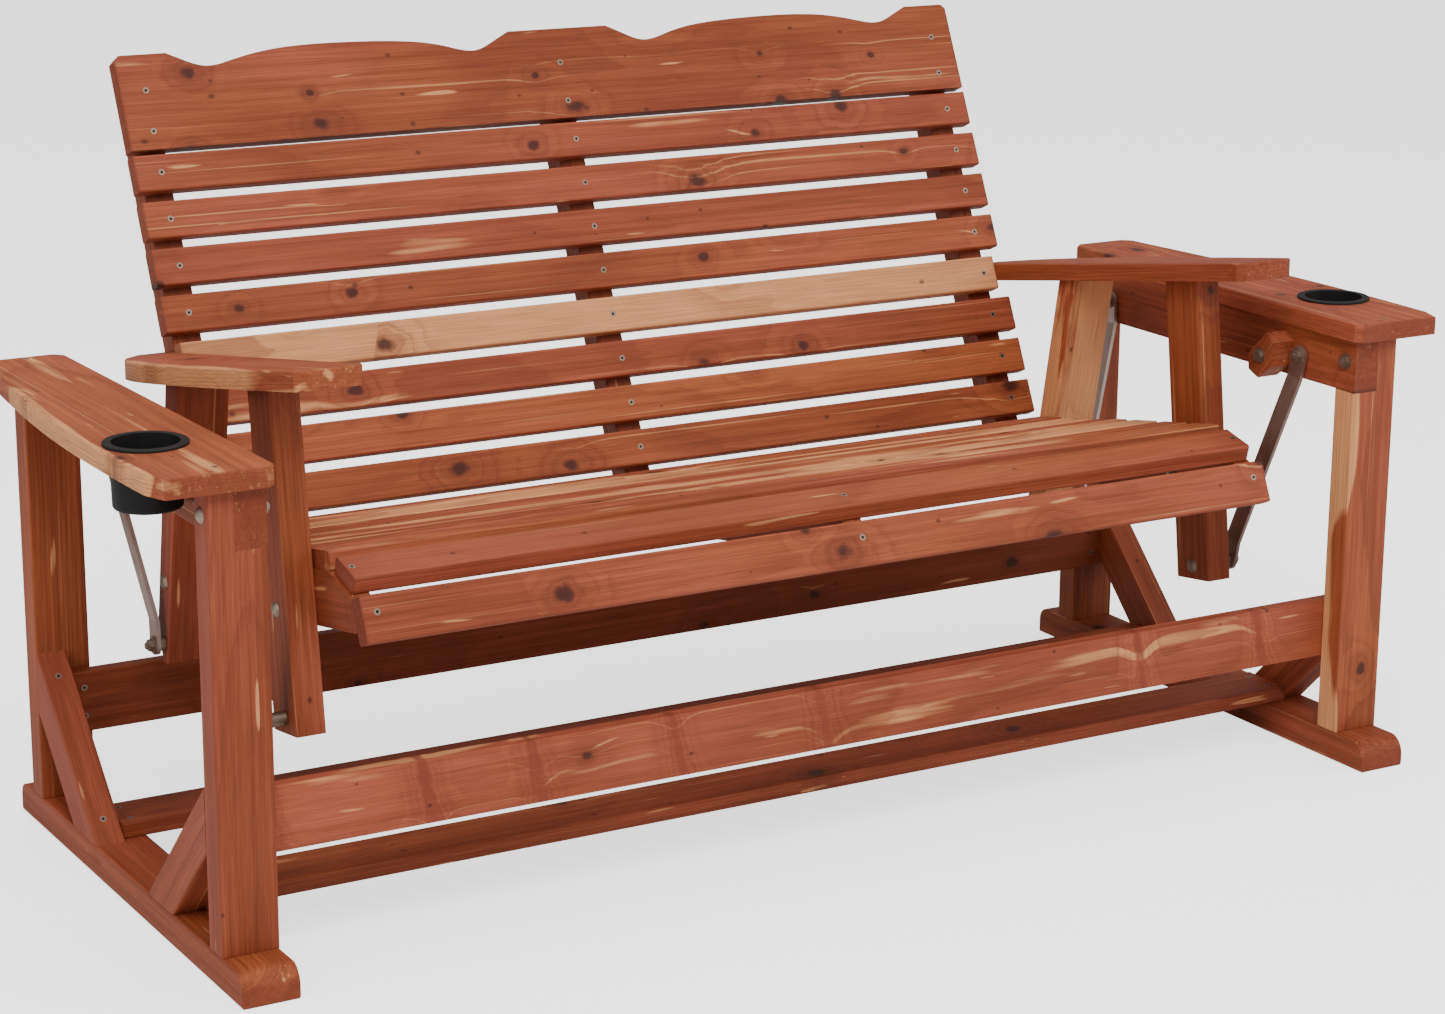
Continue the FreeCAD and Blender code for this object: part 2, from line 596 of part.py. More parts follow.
def make_front_support():
    """Leaning upright from the arm down to the front link pivot."""
    (yt, zt), (yl, zl) = FRONT_SUP_TOP, FRONT_SUP_LOW
    length = math.hypot(yt - yl, zt - zl)
    uy, uz = (yt - yl) / length, (zt - zl) / length
    ny, nz = uz, -uy
    start = (SUPPORT_X, yl + ny * SUPPORT_W / 2, zl + nz * SUPPORT_W / 2)
    end = (SUPPORT_X, start[1] + uy * (length + 60), start[2] + uz * (length + 60))
    board = stick(start, end, (0, ny, nz), SUPPORT_W, SUPPORT_T)
    under = prism([(100, arm_underside(100)), (400, arm_underside(400)), (400, 800), (100, 800)],
                  SUPPORT_X - 100, SUPPORT_X + 100)
    return board.cut(under)


def make_rear_support():
    """Broad upright facing forward, lapped over the side rib, down to the rear pivot."""
    slope = REAR_SUP_SLOPE
    lean = math.atan(slope)
    uy, uz = -math.sin(lean), math.cos(lean)
    y_low = REAR_SUP_TOP[0] + slope * (REAR_SUP_TOP[1] - (REAR_SUP_END - 40))
    start = (SUPPORT_X, y_low + uz * SUPPORT_T / 2, REAR_SUP_END - 40 - uy * SUPPORT_T / 2)
    end = (SUPPORT_X, start[1] + uy * 480, start[2] + uz * 480)
    board = stick(start, end, (1, 0, 0), SUPPORT_W, SUPPORT_T)
    y_back = LOW_REAR_PIVOT[0]
    x0, x1 = SUPPORT_X - 100, SUPPORT_X + 100
    waste = [prism([(380, arm_underside(380)), (620, arm_underside(620)), (620, 800), (380, 800)],
                   x0, x1),
             block(x0, x1, 400, 700, 100, REAR_SUP_END),
             prism([(y_back + 3, REAR_SUP_END), (y_back + 40, REAR_SUP_END),
                    (y_back + 40, REAR_SUP_END + 44), (y_back + 17, REAR_SUP_END + 38)], x0, x1),
             make_rib(side_rib_x)]
    for piece in waste:
        board = board.cut(piece)
    return board


bench.add_pair("inner_arm", make_arm())
bench.add_pair("arm_support_front", make_front_support())
bench.add_pair("arm_support_rear", make_rear_support())


# ---------------------------------------------------------------- bolts
def through_bolt(x_head, x_nut, y, z, sign=1):
    """Carriage bolt with its dome at x_head and its nut against x_nut."""
    tip = x_nut - sign * (NUT_T + 2.5)
    shank = rod(min(x_head, tip), max(x_head, tip), y, z, BOLT_R)
    lo = min(x_nut, x_nut - sign * NUT_T)
    nut = hexagon(lo, lo + NUT_T, y, z, NUT_R)
    washer = rod(min(x_nut, x_nut - sign * 1.5), max(x_nut, x_nut - sign * 1.5), y, z, 10.0)
    return fused([shank, dome(x_head, y, z, HEAD_R, HEAD_T, sign), nut, washer])


def pivot_bolt(wood_x, strap_x, head_x, y, z, sign):
    """Bolt fixed in the wood that carries a strap; sign is the side the strap is on."""
    play = 0.3
    near = strap_x - sign * (LINK_T / 2 + play)
    far = strap_x + sign * (LINK_T / 2 + play)
    end = far + sign * (NUT_T + 3.0)
    collar = rod(min(wood_x, near), max(wood_x, near), y, z, 8.5)
    nut = hexagon(min(far, far + sign * NUT_T), max(far, far + sign * NUT_T), y, z, NUT_R)
    cap = rod(min(far, far + sign * 1.6), max(far, far + sign * 1.6), y, z, 10.5)
    shank = rod(min(head_x, end), max(head_x, end), y, z, BOLT_R)
    return fused([shank, dome(head_x, y, z, HEAD_R, HEAD_T, -sign), collar, nut, cap])


def sink(nodes, solid):
    """Clear the bolt's hole in the named right-hand nodes and their mirror images."""
    for name in nodes:
        right, left = name + "_right", name + "_left"
        bench.nodes[right] = [s.cut(solid) for s in bench.nodes[right]]
        bench.nodes[left] = [s.cut(mirrored(solid)) for s in bench.nodes[left]]


rail_out = inner_x + STOCK
bolt_z = rail_z + 5
for post_name, post_y in (("post_front", FRONT_POST_Y), ("post_rear", REAR_POST_Y)):
    bolt = through_bolt(HALF_WIDTH, inner_x, post_y + STOCK / 2, bolt_z)
    bench.add_both("frame_bolts", bolt)
    sink([post_name, "side_rail"], bolt)

for pivot in (TOP_FRONT_PIVOT, TOP_REAR_PIVOT):
    bolt = pivot_bolt(inner_x, LINK_TOP_X, rail_out, pivot[0], pivot[1], -1)
    bench.add_both("frame_bolts", bolt)
    sink(["side_rail"], bolt)

stop_y, stop_z = TOP_FRONT_PIVOT[0] + 47, TOP_FRONT_PIVOT[1] - 6
stop_face = inner_x - STOP_T
stop_bolt = fused([rod(stop_face - HEAD_T, inner_x + 28, stop_y, stop_z, BOLT_R),
                   rod(stop_face - 1.5, stop_face, stop_y, stop_z, 10.0),
                   hexagon(stop_face - 1.5 - HEAD_T, stop_face - 1.5, stop_y, stop_z, NUT_R)])
bench.add_both("frame_bolts", stop_bolt)
sink(["side_rail", "stop_block"], stop_bolt)

rib_in = RIB_OUT - RIB_T
for support, x_out, y, z in (("arm_support_front", SUPPORT_X + SUPPORT_T / 2, 226.0, 362.0),
                             ("arm_support_rear", SUPPORT_X + SUPPORT_W / 2, 533.0, 318.0)):
    bolt = through_bolt(x_out, rib_in, y, z)
    bench.add_both("seat_bolts", bolt)
    sink([support, "seat_rib"], bolt)

for pivot, support, width in ((LOW_FRONT_PIVOT, "arm_support_front", SUPPORT_T),
                              (LOW_REAR_PIVOT, "arm_support_rear", SUPPORT_W)):
    wood = SUPPORT_X + width / 2
    head = SUPPORT_X - width / 2
    bolt = pivot_bolt(wood, LINK_LOW_X, head, pivot[0], pivot[1], 1)
    bench.add_both("seat_bolts", bolt)
    sink([support], bolt)

# the back supports are bolted to the flanks of the ribs
for y, z in (back_point(-28, -SLAT_T - BACK_DEPTH / 2), back_point(-66, -SLAT_T - BACK_DEPTH / 2)):
    lo, hi = side_back_x - STOCK / 2, RIB_OUT
    bolt = through_bolt(hi, lo, y, z)
    bench.add_both("seat_bolts", bolt)
    sink(["seat_rib", "back_support"], bolt)
    lo, hi = CENTRE_BACK_X - STOCK / 2, centre_rib_x + RIB_T / 2
    bolt = through_bolt(hi, lo, y, z)
    bench.add("seat_bolts", bolt)
    for name in ("seat_rib_centre", "back_support_centre"):
        bench.nodes[name] = [s.cut(bolt) for s in bench.nodes[name]]

# ---------------------------------------------------------------- frame screws
lap_x = inner_x + POST_REST / 2
for side, sign in (("_left", -1), ("_right", 1)):
    for dz in (20.0, BOARD_W - 20.0):
        bench.drive("frame_screws", sign * lap_x, front_face + THIN, FRONT_BOARD_Z + dz,
                    (0, -1, 0), 45.0, ("stretcher_front_upper", "post_front" + side))
        bench.drive("frame_screws", sign * lap_x, REAR_POST_Y - THIN, REAR_BOARD_Z + dz,
                    (0, 1, 0), 45.0, ("stretcher_rear_upper", "post_rear" + side))
    for dy in (-20.0, 20.0):
        bench.drive("frame_screws", sign * lap_x, low_y + dy, FOOT_H + THIN,
                    (0, 0, -1), 45.0, ("stretcher_front_lower", "foot" + side))
        bench.drive("frame_screws", sign * lap_x, depth_sum - low_y + dy, FOOT_H + THIN,
                    (0, 0, -1), 45.0, ("stretcher_rear_lower", "foot" + side))
    brace_mid = sign * (HALF_WIDTH - STOCK / 2)
    diagonal = math.sqrt(0.5)
    face = front_face + BRACE_FOOT
    for up in (BRACE_SCREW_IN, BRACE_FOOT - BRACE_SCREW_IN):
        y, z = face - up, FOOT_H + up
        into = "post_front" if up > BRACE_FOOT / 2 else "foot"
        bench.drive("frame_screws", brace_mid, y, z, (0, -diagonal, -diagonal), 55.0,
                    ("brace_front" + side, into + side))
        into = into.replace("front", "rear")
        bench.drive("frame_screws", brace_mid, depth_sum - y, z, (0, diagonal, -diagonal), 55.0,
                    ("brace_rear" + side, into + side))
    for arm_y in (FRONT_POST_Y + STOCK / 2 - 8, REAR_POST_Y + STOCK / 2 + 8):
        where = "post_front" if arm_y < 300 else "post_rear"
        bench.drive("frame_screws", sign * (HALF_WIDTH - POST_REST / 2), arm_y,
                    POST_TOP + ARM_T, (0, 0, -1), 60.0, ("outer_arm" + side, where + side))
    for arm_y, x in ((265.0, SUPPORT_X), (488.0, SUPPORT_X - 18.5), (488.0, SUPPORT_X + 18.5)):
        lift = ARM_T / math.cos(math.radians(ARM_FALL))
        fall = math.radians(ARM_FALL)
        where = "arm_support_front" if arm_y < 300 else "arm_support_rear"
        bench.drive("seat_screws", sign * x, arm_y, arm_underside(arm_y) + lift,
                    (0, -math.sin(fall), -math.cos(fall)), 60.0,
                    ("inner_arm" + side, where + side))
bench.finish()

# ---------------------------------------------------------------- output
everything = Part.makeCompound([s for solids in bench.nodes.values() for s in solids])
box = everything.BoundBox
shift = V(-(box.XMin + box.XMax) / 2, -(box.YMin + box.YMax) / 2, -box.ZMin)
os.makedirs("parts", exist_ok=True)
for name, solids in bench.nodes.items():
    shape = solids[0] if len(solids) == 1 else Part.makeCompound(solids)
    if len(shape.Solids) == 1:
        shape = shape.Solids[0]
    shape = shape.copy()
    shape.translate(shift)
    shape.exportStep("parts/%s.step" % name)
print("nodes", len(bench.nodes), "size %.1f %.1f %.1f" % (box.XLength, box.YLength, box.ZLength),
      "shift %.4f %.4f %.4f" % tuple(shift))
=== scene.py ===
"""Looks for a two-seat cedar glider bench: every board gets its own piece of cedar.

Lengths are in metres, in the bench's own frame: X along the bench, Y from the front to
the back, Z up, with the origin on the ground at the middle.
"""
import logging
import math
from dataclasses import dataclass
from enum import Enum

import bmesh
import bpy
from mathutils import Euler, Matrix, Vector


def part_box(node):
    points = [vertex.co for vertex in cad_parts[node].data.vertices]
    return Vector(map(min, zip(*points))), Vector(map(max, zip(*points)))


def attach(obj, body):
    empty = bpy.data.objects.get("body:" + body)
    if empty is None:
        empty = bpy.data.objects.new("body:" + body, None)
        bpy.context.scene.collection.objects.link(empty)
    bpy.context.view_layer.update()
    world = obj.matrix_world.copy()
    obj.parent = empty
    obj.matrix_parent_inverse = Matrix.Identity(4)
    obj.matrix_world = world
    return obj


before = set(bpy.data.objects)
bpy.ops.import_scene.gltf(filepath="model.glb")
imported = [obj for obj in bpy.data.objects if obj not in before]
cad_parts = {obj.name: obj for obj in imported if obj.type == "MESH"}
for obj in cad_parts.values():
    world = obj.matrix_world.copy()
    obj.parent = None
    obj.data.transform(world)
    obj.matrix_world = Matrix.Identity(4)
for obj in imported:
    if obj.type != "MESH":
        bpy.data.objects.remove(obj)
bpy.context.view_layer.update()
log = logging.getLogger("glider")

Colour = tuple[float, float, float]
Triple = tuple[float, float, float]
Pair = tuple[float, float]
Socket = bpy.types.NodeSocket

MIDDLE = 0.5            # of a noise that runs from 0 to 1
PAST_ENDS = 10.0        # a half length that no board reaches
NO_SAP_EDGE = 1.0       # a sap edge that lies outside every board
STRAIGHT = 0.999        # how nearly a board's direction must follow an axis
HEAD_RING = 0.0012      # how deep from a screw's end its widest ring is looked for
FIRST_SEED = 1.0
SEED_STEP = 0.73
WHITE = (1.0, 1.0, 1.0, 1.0)

RIGHT: Triple = (1.0, 0.0, 0.0)
LEFT: Triple = (-1.0, 0.0, 0.0)
BACK: Triple = (0.0, 1.0, 0.0)
UP: Triple = (0.0, 0.0, 1.0)
SIDES = ("left", "right")


# ---------------------------------------------------------------- node helpers
class Graph:
    """Short calls for wiring one shader node tree."""

    def __init__(self, tree: bpy.types.NodeTree) -> None:
        """Start on an empty tree.

        Args:
            tree: the node tree to fill.
        """
        self.tree = tree
        tree.nodes.clear()

    def node(self, kind: str, **settings: object) -> bpy.types.Node:
        """Add a node.

        Args:
            kind: Blender's type name, without the ShaderNode prefix.
            settings: node properties to set.

        Returns:
            The new node.
        """
        made = self.tree.nodes.new("ShaderNode" + kind)
        for name, value in settings.items():
            setattr(made, name, value)
        return made

    def feed(self, socket: Socket, value: object) -> None:
        """Link a socket into another, or set its value.

        Args:
            socket: the input to fill.
            value: the socket to link, or the plain value.
        """
        if isinstance(value, bpy.types.NodeSocket):
            self.tree.links.new(value, socket)
        else:
            socket.default_value = value

    def math(self, operation: str, a: object, b: object = 0.0, clamp: bool = False) -> Socket:
        """One Math node.

        Args:
            operation: Blender's operation name.
            a: first value or socket.
            b: second value or socket.
            clamp: hold the result between 0 and 1.

        Returns:
            The result socket.
        """
        made = self.node("Math", operation=operation, use_clamp=clamp)
        self.feed(made.inputs[0], a)
        self.feed(made.inputs[1], b)
        return made.outputs[0]

    def add(self, a: object, b: object, clamp: bool = False) -> Socket:
        """The sum of a and b."""
        return self.math("ADD", a, b, clamp)

    def subtract(self, a: object, b: object) -> Socket:
        """What is left of a without b."""
        return self.math("SUBTRACT", a, b)

    def times(self, a: object, b: object, clamp: bool = False) -> Socket:
        """The product of a and b."""
        return self.math("MULTIPLY", a, b, clamp)

    def divide(self, a: object, b: object) -> Socket:
        """The value a in units of b."""
        return self.math("DIVIDE", a, b)

    def swing(self, noise: Socket, reach: float) -> Socket:
        """The noise taken about its middle, times reach."""
        return self.times(self.subtract(noise, MIDDLE), reach)

    def above(self, noise: Socket, level: object, gain: float) -> Socket:
        """How far the noise is above a level, times gain, held between 0 and 1."""
        return self.times(self.subtract(noise, level), gain, clamp=True)

    def ramp(self, value: Socket, low: float, high: float, to_low: float = 0.0,
             to_high: float = 1.0) -> Socket:
        """Smooth step of a value.

        Args:
            value: what is stepped.
            low: where the step starts.
            high: where it ends.
            to_low: the result below the step.
            to_high: the result above it.

        Returns:
            The stepped value.
        """
        made = self.node("MapRange", interpolation_type="SMOOTHSTEP")
        self.feed(made.inputs["Value"], value)
        for name, number in (("From Min", low), ("From Max", high),
                             ("To Min", to_low), ("To Max", to_high)):
            self.feed(made.inputs[name], number)
        return made.outputs["Result"]

    def fade(self, value: Socket, low: float, high: float) -> Socket:
        """Smooth step down from 1 to 0."""
        return self.ramp(value, low, high, 1.0, 0.0)

    def vector(self, x: object, y: object, z: object) -> Socket:
        """A vector from three parts.

        Args:
            x: first value or socket.
            y: second value or socket.
            z: third value or socket.

        Returns:
            The vector.
        """
        made = self.node("CombineXYZ")
        for socket, value in zip(made.inputs, (x, y, z)):
            self.feed(socket, value)
        return made.outputs[0]

    def vector_math(self, operation: str, a: Socket, b: object) -> Socket:
        """One Vector Math node.

        Args:
            operation: Blender's operation name.
            a: first vector.
            b: second vector, or three numbers.

        Returns:
            The result vector.
        """
        made = self.node("VectorMath", operation=operation)
        self.feed(made.inputs[0], a)
        self.feed(made.inputs[1], b)
        return made.outputs[0]

    def stretch(self, vector: Socket, factors: Triple) -> Socket:
        """The vector multiplied by three factors."""
        return self.vector_math("MULTIPLY", vector, factors)

    def noise(self, vector: Socket, detail: float = 2.0, rough: float = 0.5) -> Socket:
        """Noise from 0 to 1, scaled by its vector alone.

        Args:
            vector: where it is read.
            detail: how many finer layers it has.
            rough: how strong the finer layers are.

        Returns:
            The noise value.
        """
        made = self.node("TexNoise", noise_dimensions="3D")
        self.feed(made.inputs["Vector"], vector)
        made.inputs["Scale"].default_value = 1.0
        made.inputs["Detail"].default_value = detail
        made.inputs["Roughness"].default_value = rough
        return made.outputs["Fac"]

    def mix(self, factor: object, a: object, b: object, blend: str = "MIX") -> Socket:
        """Colour mix.

        Args:
            factor: how much of b.
            a: first colour or socket.
            b: second colour or socket.
            blend: Blender's blend type.

        Returns:
            The mixed colour.
        """
        made = self.node("Mix", data_type="RGBA", blend_type=blend)
        self.feed(made.inputs[0], factor)
        for socket, value in ((made.inputs[6], a), (made.inputs[7], b)):
            self.feed(socket, (*value, 1.0) if isinstance(value, tuple) else value)
        return made.outputs[2]

    def draw(self, colour: Socket) -> tuple[Socket, Socket]:
        """Two chance numbers out of a cell's colour.

        Args:
            colour: the colour of a Voronoi cell.

        Returns:
            Its first and second parts, each from 0 to 1.
        """
        made = self.node("SeparateColor")
        self.feed(made.inputs[0], colour)
        return made.outputs[0], made.outputs[1]

    def bump(self, shader: bpy.types.Node, height: Socket, distance: float,
             strength: float = 1.0) -> None:
        """Raise a shader's surface by a height.

        Args:
            shader: the Principled shader.
            height: the height, from 0 to 1.
            distance: how high a height of 1 stands, in metres.
            strength: share of the effect that is kept.
        """
        made = self.node("Bump")
        made.inputs["Strength"].default_value = strength
        made.inputs["Distance"].default_value = distance
        self.feed(made.inputs["Height"], height)
        self.feed(shader.inputs["Normal"], made.outputs[0])


def new_group(name: str, inputs: dict[str, float | None],
              outputs: dict[str, str]) -> tuple[Graph, bpy.types.Node, bpy.types.Node]:
    """Make a shader node group.

    Args:
        name: the group's name.
        inputs: input names with their default values; None makes a vector input.
        outputs: output names with their socket types.

    Returns:
        The graph, its input node and its output node.
    """
    tree = bpy.data.node_groups.new(name, "ShaderNodeTree")
    graph = Graph(tree)
    for label, value in inputs.items():
        kind = "NodeSocketVector" if value is None else "NodeSocketFloat"
        socket = tree.interface.new_socket(label, in_out="INPUT", socket_type=kind)
        if value is not None:
            socket.default_value = value
    for label, kind in outputs.items():
        tree.interface.new_socket(label, in_out="OUTPUT", socket_type=kind)
    into = tree.nodes.new("NodeGroupInput")
    out = tree.nodes.new("NodeGroupOutput")
    return graph, into, out


def new_material(name: str) -> tuple[bpy.types.Material, Graph, bpy.types.Node]:
    """Start a material with a Principled shader on its surface.

    Args:
        name: the material's name.

    Returns:
        The material, its graph and its shader.
    """
    material = bpy.data.materials.new(name)
    material.use_nodes = True
    graph = Graph(material.node_tree)
    shader = graph.node("BsdfPrincipled")
    graph.feed(graph.node("OutputMaterial").inputs["Surface"], shader.outputs[0])
    return material, graph, shader


def put_on(node: str, material: bpy.types.Material) -> None:
    """Swap the material of a CAD node, leaving its mesh alone.

    Args:
        node: the CAD node's name.
        material: what it is to wear.
    """
    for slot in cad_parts[node].material_slots:
        slot.link = "OBJECT"
        slot.material = material
    log.info("%s wears %s", node, material.name)


# ---------------------------------------------------------------- finishes
class Cut(Enum):
    """How a board was sawn: where the heart of the log lies, across it and behind it."""
    FLAT = (0.013, -0.042)
    RIFT = (0.048, -0.042)
    QUARTER = (0.090, -0.010)
    HEART = (0.012, -0.020)


@dataclass(frozen=True)
class CedarFinish:
    """Oiled aromatic cedar.

    A scale gives a pattern's cycles per metre, along the grain and across it twice. A
    range gives where a smooth step starts and ends, and a share how strong a layer is.
    """
    light: Colour = (0.388, 0.100, 0.034)
    rose: Colour = (0.388, 0.087, 0.043)
    dark: Colour = (0.200, 0.040, 0.012)
    late: Colour = (0.150, 0.027, 0.011)
    sapwood: Colour = (0.680, 0.310, 0.128)
    knot: Colour = (0.036, 0.009, 0.006)
    knot_edge: Colour = (0.140, 0.030, 0.012)
    spike: Colour = (0.200, 0.036, 0.019)

    seed_step: float = 3.71
    fibre_scale: Triple = (14.0, 950.0, 950.0)
    streak_scale: Triple = (2.0, 150.0, 150.0)
    cloud_scale: Triple = (2.6, 9.0, 9.0)
    blush_scale: Triple = (1.3, 6.0, 6.0)
    tone_swing: float = 1.5
    blush_range: Pair = (0.36, 0.62)
    fibre_range: Pair = (0.32, 0.68)
    fibre_shade: Pair = (0.78, 1.14)
    end_range: Pair = (-0.0030, -0.0006)

    band_share: float = 0.34
    sap_share: float = 0.78
    late_share: float = 0.42
    spike_share: float = 0.72
    end_share: float = 0.50
    rim_share: float = 0.66
    knot_share: float = 0.85

    roughness: float = 0.50
    fibre_rough: float = 0.22
    knot_gloss: float = 0.14
    fibre_height: float = 0.55
    late_dip: float = 0.25
    knot_dip: float = 0.50

    ring_width: float = 0.0043
    sway_scale: Triple = (1.7, 4.0, 4.0)
    sway: float = 0.020
    ripple_scale: Triple = (12.0, 60.0, 60.0)
    ripple: float = 0.0022
    late_start: float = 0.45
    late_peak: float = 0.93
    age_step: float = 0.37
    age_range: Pair = (0.35, 0.62)
    faintest_ring: float = 0.25
    band_step: float = 0.32
    band_range: Pair = (0.38, 0.66)

    cell_chance: float = 0.85
    spot_length: float = 0.72
    knot_cell: Pair = (0.165, 0.085)
    knot_radius: Pair = (0.0050, 0.0072)
    knot_shift: float = 1.9
    knot_wobble_scale: float = 55.0
    knot_wobble: float = 1.5
    core_range: Pair = (0.45, 1.05)
    rim_range: Pair = (0.8, 3.2)
    rim_waves: float = 9.0
    rim_wave_depth: float = 0.16
    rim_level: float = 0.70
    swirl_base: float = 2.718
    swirl_fall: float = -0.10
    swirl_reach: float = 1.35
    pin_cell: Pair = (0.085, 0.050)
    pin_radius: Pair = (0.0012, 0.0020)
    pins_to_knots: float = 0.6
    pin_range: Pair = (0.4, 1.5)
    pin_depth: float = 0.8

    spike_spacing: float = 0.19
    spike_lean: float = 0.22
    spike_ragged_scale: float = 60.0
    spike_ragged: float = 0.012
    spike_range: Pair = (0.003, 0.010)
    lift_range: Pair = (0.0, 0.048)
    lift: float = 0.014

    patch_scale: Triple = (2.4, 30.0, 30.0)
    patch_level: Pair = (0.82, 0.58)
    patch_gain: float = 16.0
    fleck_scale: Triple = (9.0, 95.0, 95.0)
    fleck_level: Pair = (0.785, 0.09)
    fleck_gain: float = 26.0
    thread_scale: Triple = (1.5, 210.0, 210.0)
    thread_level: Pair = (0.71, 0.12)
    thread_gain: float = 14.0
    thread_share: float = 0.62
    bay_scale: Triple = (3.5, 11.0, 11.0)
    bay_depth: float = 0.050
    edge_gain: float = 500.0


class CedarPattern:
    """Wires the cedar node group, whose Vector input runs along the grain in its X."""

    INPUTS = {"Vector": None, "Seed": 0.0, "Pith Y": 0.01, "Pith Z": -0.08, "Taper": 0.02,
              "Knots": 0.5, "Spikes": 0.0, "Sap": 0.2, "Sap Edge": NO_SAP_EDGE, "Tone": 0.5,
              "Blush": 0.0, "Half Length": PAST_ENDS}
    OUTPUTS = {"Color": "NodeSocketColor", "Roughness": "NodeSocketFloat",
               "Height": "NodeSocketFloat"}

    def __init__(self, finish: CedarFinish) -> None:
        """Start the group and split its vector.

        Args:
            finish: the colours and sizes of the pattern.
        """
        self.finish = finish
        self.graph, self.into, self.out = new_group("Cedar", self.INPUTS, self.OUTPUTS)
        split = self.graph.node("SeparateXYZ")
        self.graph.feed(split.inputs[0], self.given("Vector"))
        self.seed = self.given("Seed")
        self.from_middle, self.y, self.z = split.outputs
        self.x = self.graph.add(self.from_middle, self.graph.times(self.seed, finish.seed_step))
        self.along = self.graph.vector(self.x, self.y, self.z)

    def given(self, name: str) -> Socket:
        """One of the group's inputs, as the pattern reads it."""
        return self.into.outputs[name]

    def build(self) -> bpy.types.NodeTree:
        """Wire the whole pattern.

        Returns:
            The finished node group.
        """
        g, cedar = self.graph, self.finish
        swirl, core, rim = self.knots()
        pins = self.pin_knots()
        lift, spike = self.spikes()
        bend = g.add(swirl, lift)
        bands, late = self.rings(bend)
        fibre = g.noise(g.stretch(self.along, cedar.fibre_scale), 3.0, 0.6)
        sap = self.sapwood(bend)

        colour = self.heartwood()
        for mask, share, over in ((bands, cedar.band_share, cedar.late),
                                  (sap, cedar.sap_share, cedar.sapwood),
                                  (late, cedar.late_share, cedar.late)):
            colour = g.mix(g.times(mask, share), colour, over)
        grain = g.ramp(fibre, *cedar.fibre_range, *cedar.fibre_shade)
        colour = g.mix(1.0, colour, g.vector(grain, grain, grain), "MULTIPLY")
        end = g.subtract(g.math("ABSOLUTE", self.from_middle), self.given("Half Length"))
        for mask, share, over in ((spike, cedar.spike_share, cedar.spike),
                                  (g.ramp(end, *cedar.end_range), cedar.end_share, cedar.late),
                                  (rim, cedar.rim_share, cedar.knot_edge),
                                  (g.math("MAXIMUM", core, pins), cedar.knot_share, cedar.knot)):
            colour = g.mix(g.times(mask, share), colour, over)
        g.feed(self.out.inputs["Color"], colour)

        rough = g.add(cedar.roughness, g.times(fibre, cedar.fibre_rough))
        rough = g.subtract(rough, g.times(core, cedar.knot_gloss))
        g.feed(self.out.inputs["Roughness"], rough)
        height = g.subtract(g.times(fibre, cedar.fibre_height), g.times(late, cedar.late_dip))
        height = g.subtract(height, g.times(core, cedar.knot_dip))
        g.feed(self.out.inputs["Height"], height)
        return g.tree

    def heartwood(self) -> Socket:
        """The wood's ground colour, clouded and streaked between dark, orange and rose.

        Returns:
            The ground colour.
        """
        g, cedar = self.graph, self.finish
        streak = g.noise(g.stretch(self.along, cedar.streak_scale), 2.0, 0.6)
        cloud = g.noise(g.stretch(self.along, cedar.cloud_scale))
        tone = g.add(self.given("Tone"), g.swing(cloud, cedar.tone_swing))
        tone = g.add(tone, g.swing(streak, cedar.tone_swing), clamp=True)
        blush = g.noise(g.stretch(self.along, cedar.blush_scale))
        blush = g.add(blush, self.given("Blush"))
        return g.mix(tone, cedar.dark,
                     g.mix(g.ramp(blush, *cedar.blush_range), cedar.light, cedar.rose))

    def on_face(self, scale: float) -> Socket:
        """A place on the board's face for a noise, moved from board to board."""
        g = self.graph
        return g.vector(g.times(self.x, scale), g.times(self.y, scale), self.seed)

    def spots(self, cell_size: Pair, radius: Pair, shift: Socket,
              share: Socket) -> tuple[Socket, Socket, Socket]:
        """Scatter round spots over the face.

        Args:
            cell_size: mean spacing along and across.
            radius: smallest radius, and how much larger the largest is.
            shift: moves the pattern from board to board.
            share: how many of the cells hold a spot.

        Returns:
            Distance in radii, the radius, and whether this cell holds a spot.
        """
        g, cedar = self.graph, self.finish
        long, wide = cell_size
        place = g.vector(g.divide(self.x, long), g.add(g.divide(self.y, wide), shift), 0.0)
        cell = g.node("TexVoronoi", voronoi_dimensions="2D", feature="F1")
        g.feed(cell.inputs["Vector"], place)
        cell.inputs["Scale"].default_value = 1.0
        cell.inputs["Randomness"].default_value = cedar.cell_chance
        offset = g.vector_math("SUBTRACT", place, cell.outputs["Position"])
        distance = g.node("VectorMath", operation="LENGTH")
        g.feed(distance.inputs[0], g.stretch(offset, (long * cedar.spot_length, wide, 0.0)))
        chance, bigger = g.draw(cell.outputs["Color"])
        smallest, spread = radius
        size = g.add(smallest, g.times(bigger, spread))
        near = g.divide(distance.outputs["Value"], size)
        return near, size, g.math("LESS_THAN", chance, share)

    def knots(self) -> tuple[Socket, Socket, Socket]:
        """Knots scattered over the face.

        Returns:
            How far the grain bends round them, their cores and their rims.
        """
        g, cedar = self.graph, self.finish
        near, size, active = self.spots(cedar.knot_cell, cedar.knot_radius,
                                        g.times(self.seed, cedar.knot_shift),
                                        self.given("Knots"))
        wobble = g.noise(self.on_face(cedar.knot_wobble_scale))
        near = g.add(near, g.swing(wobble, cedar.knot_wobble))
        core = g.times(g.fade(near, *cedar.core_range), active)
        rim = g.times(g.fade(near, *cedar.rim_range), active)
        wave = g.math("SINE", g.times(near, cedar.rim_waves))
        rim = g.times(rim, g.add(g.times(wave, cedar.rim_wave_depth), cedar.rim_level))
        reach = g.math("POWER", cedar.swirl_base, g.times(g.times(near, near), cedar.swirl_fall))
        swirl = g.times(g.times(reach, active), g.times(size, cedar.swirl_reach))
        return swirl, core, rim

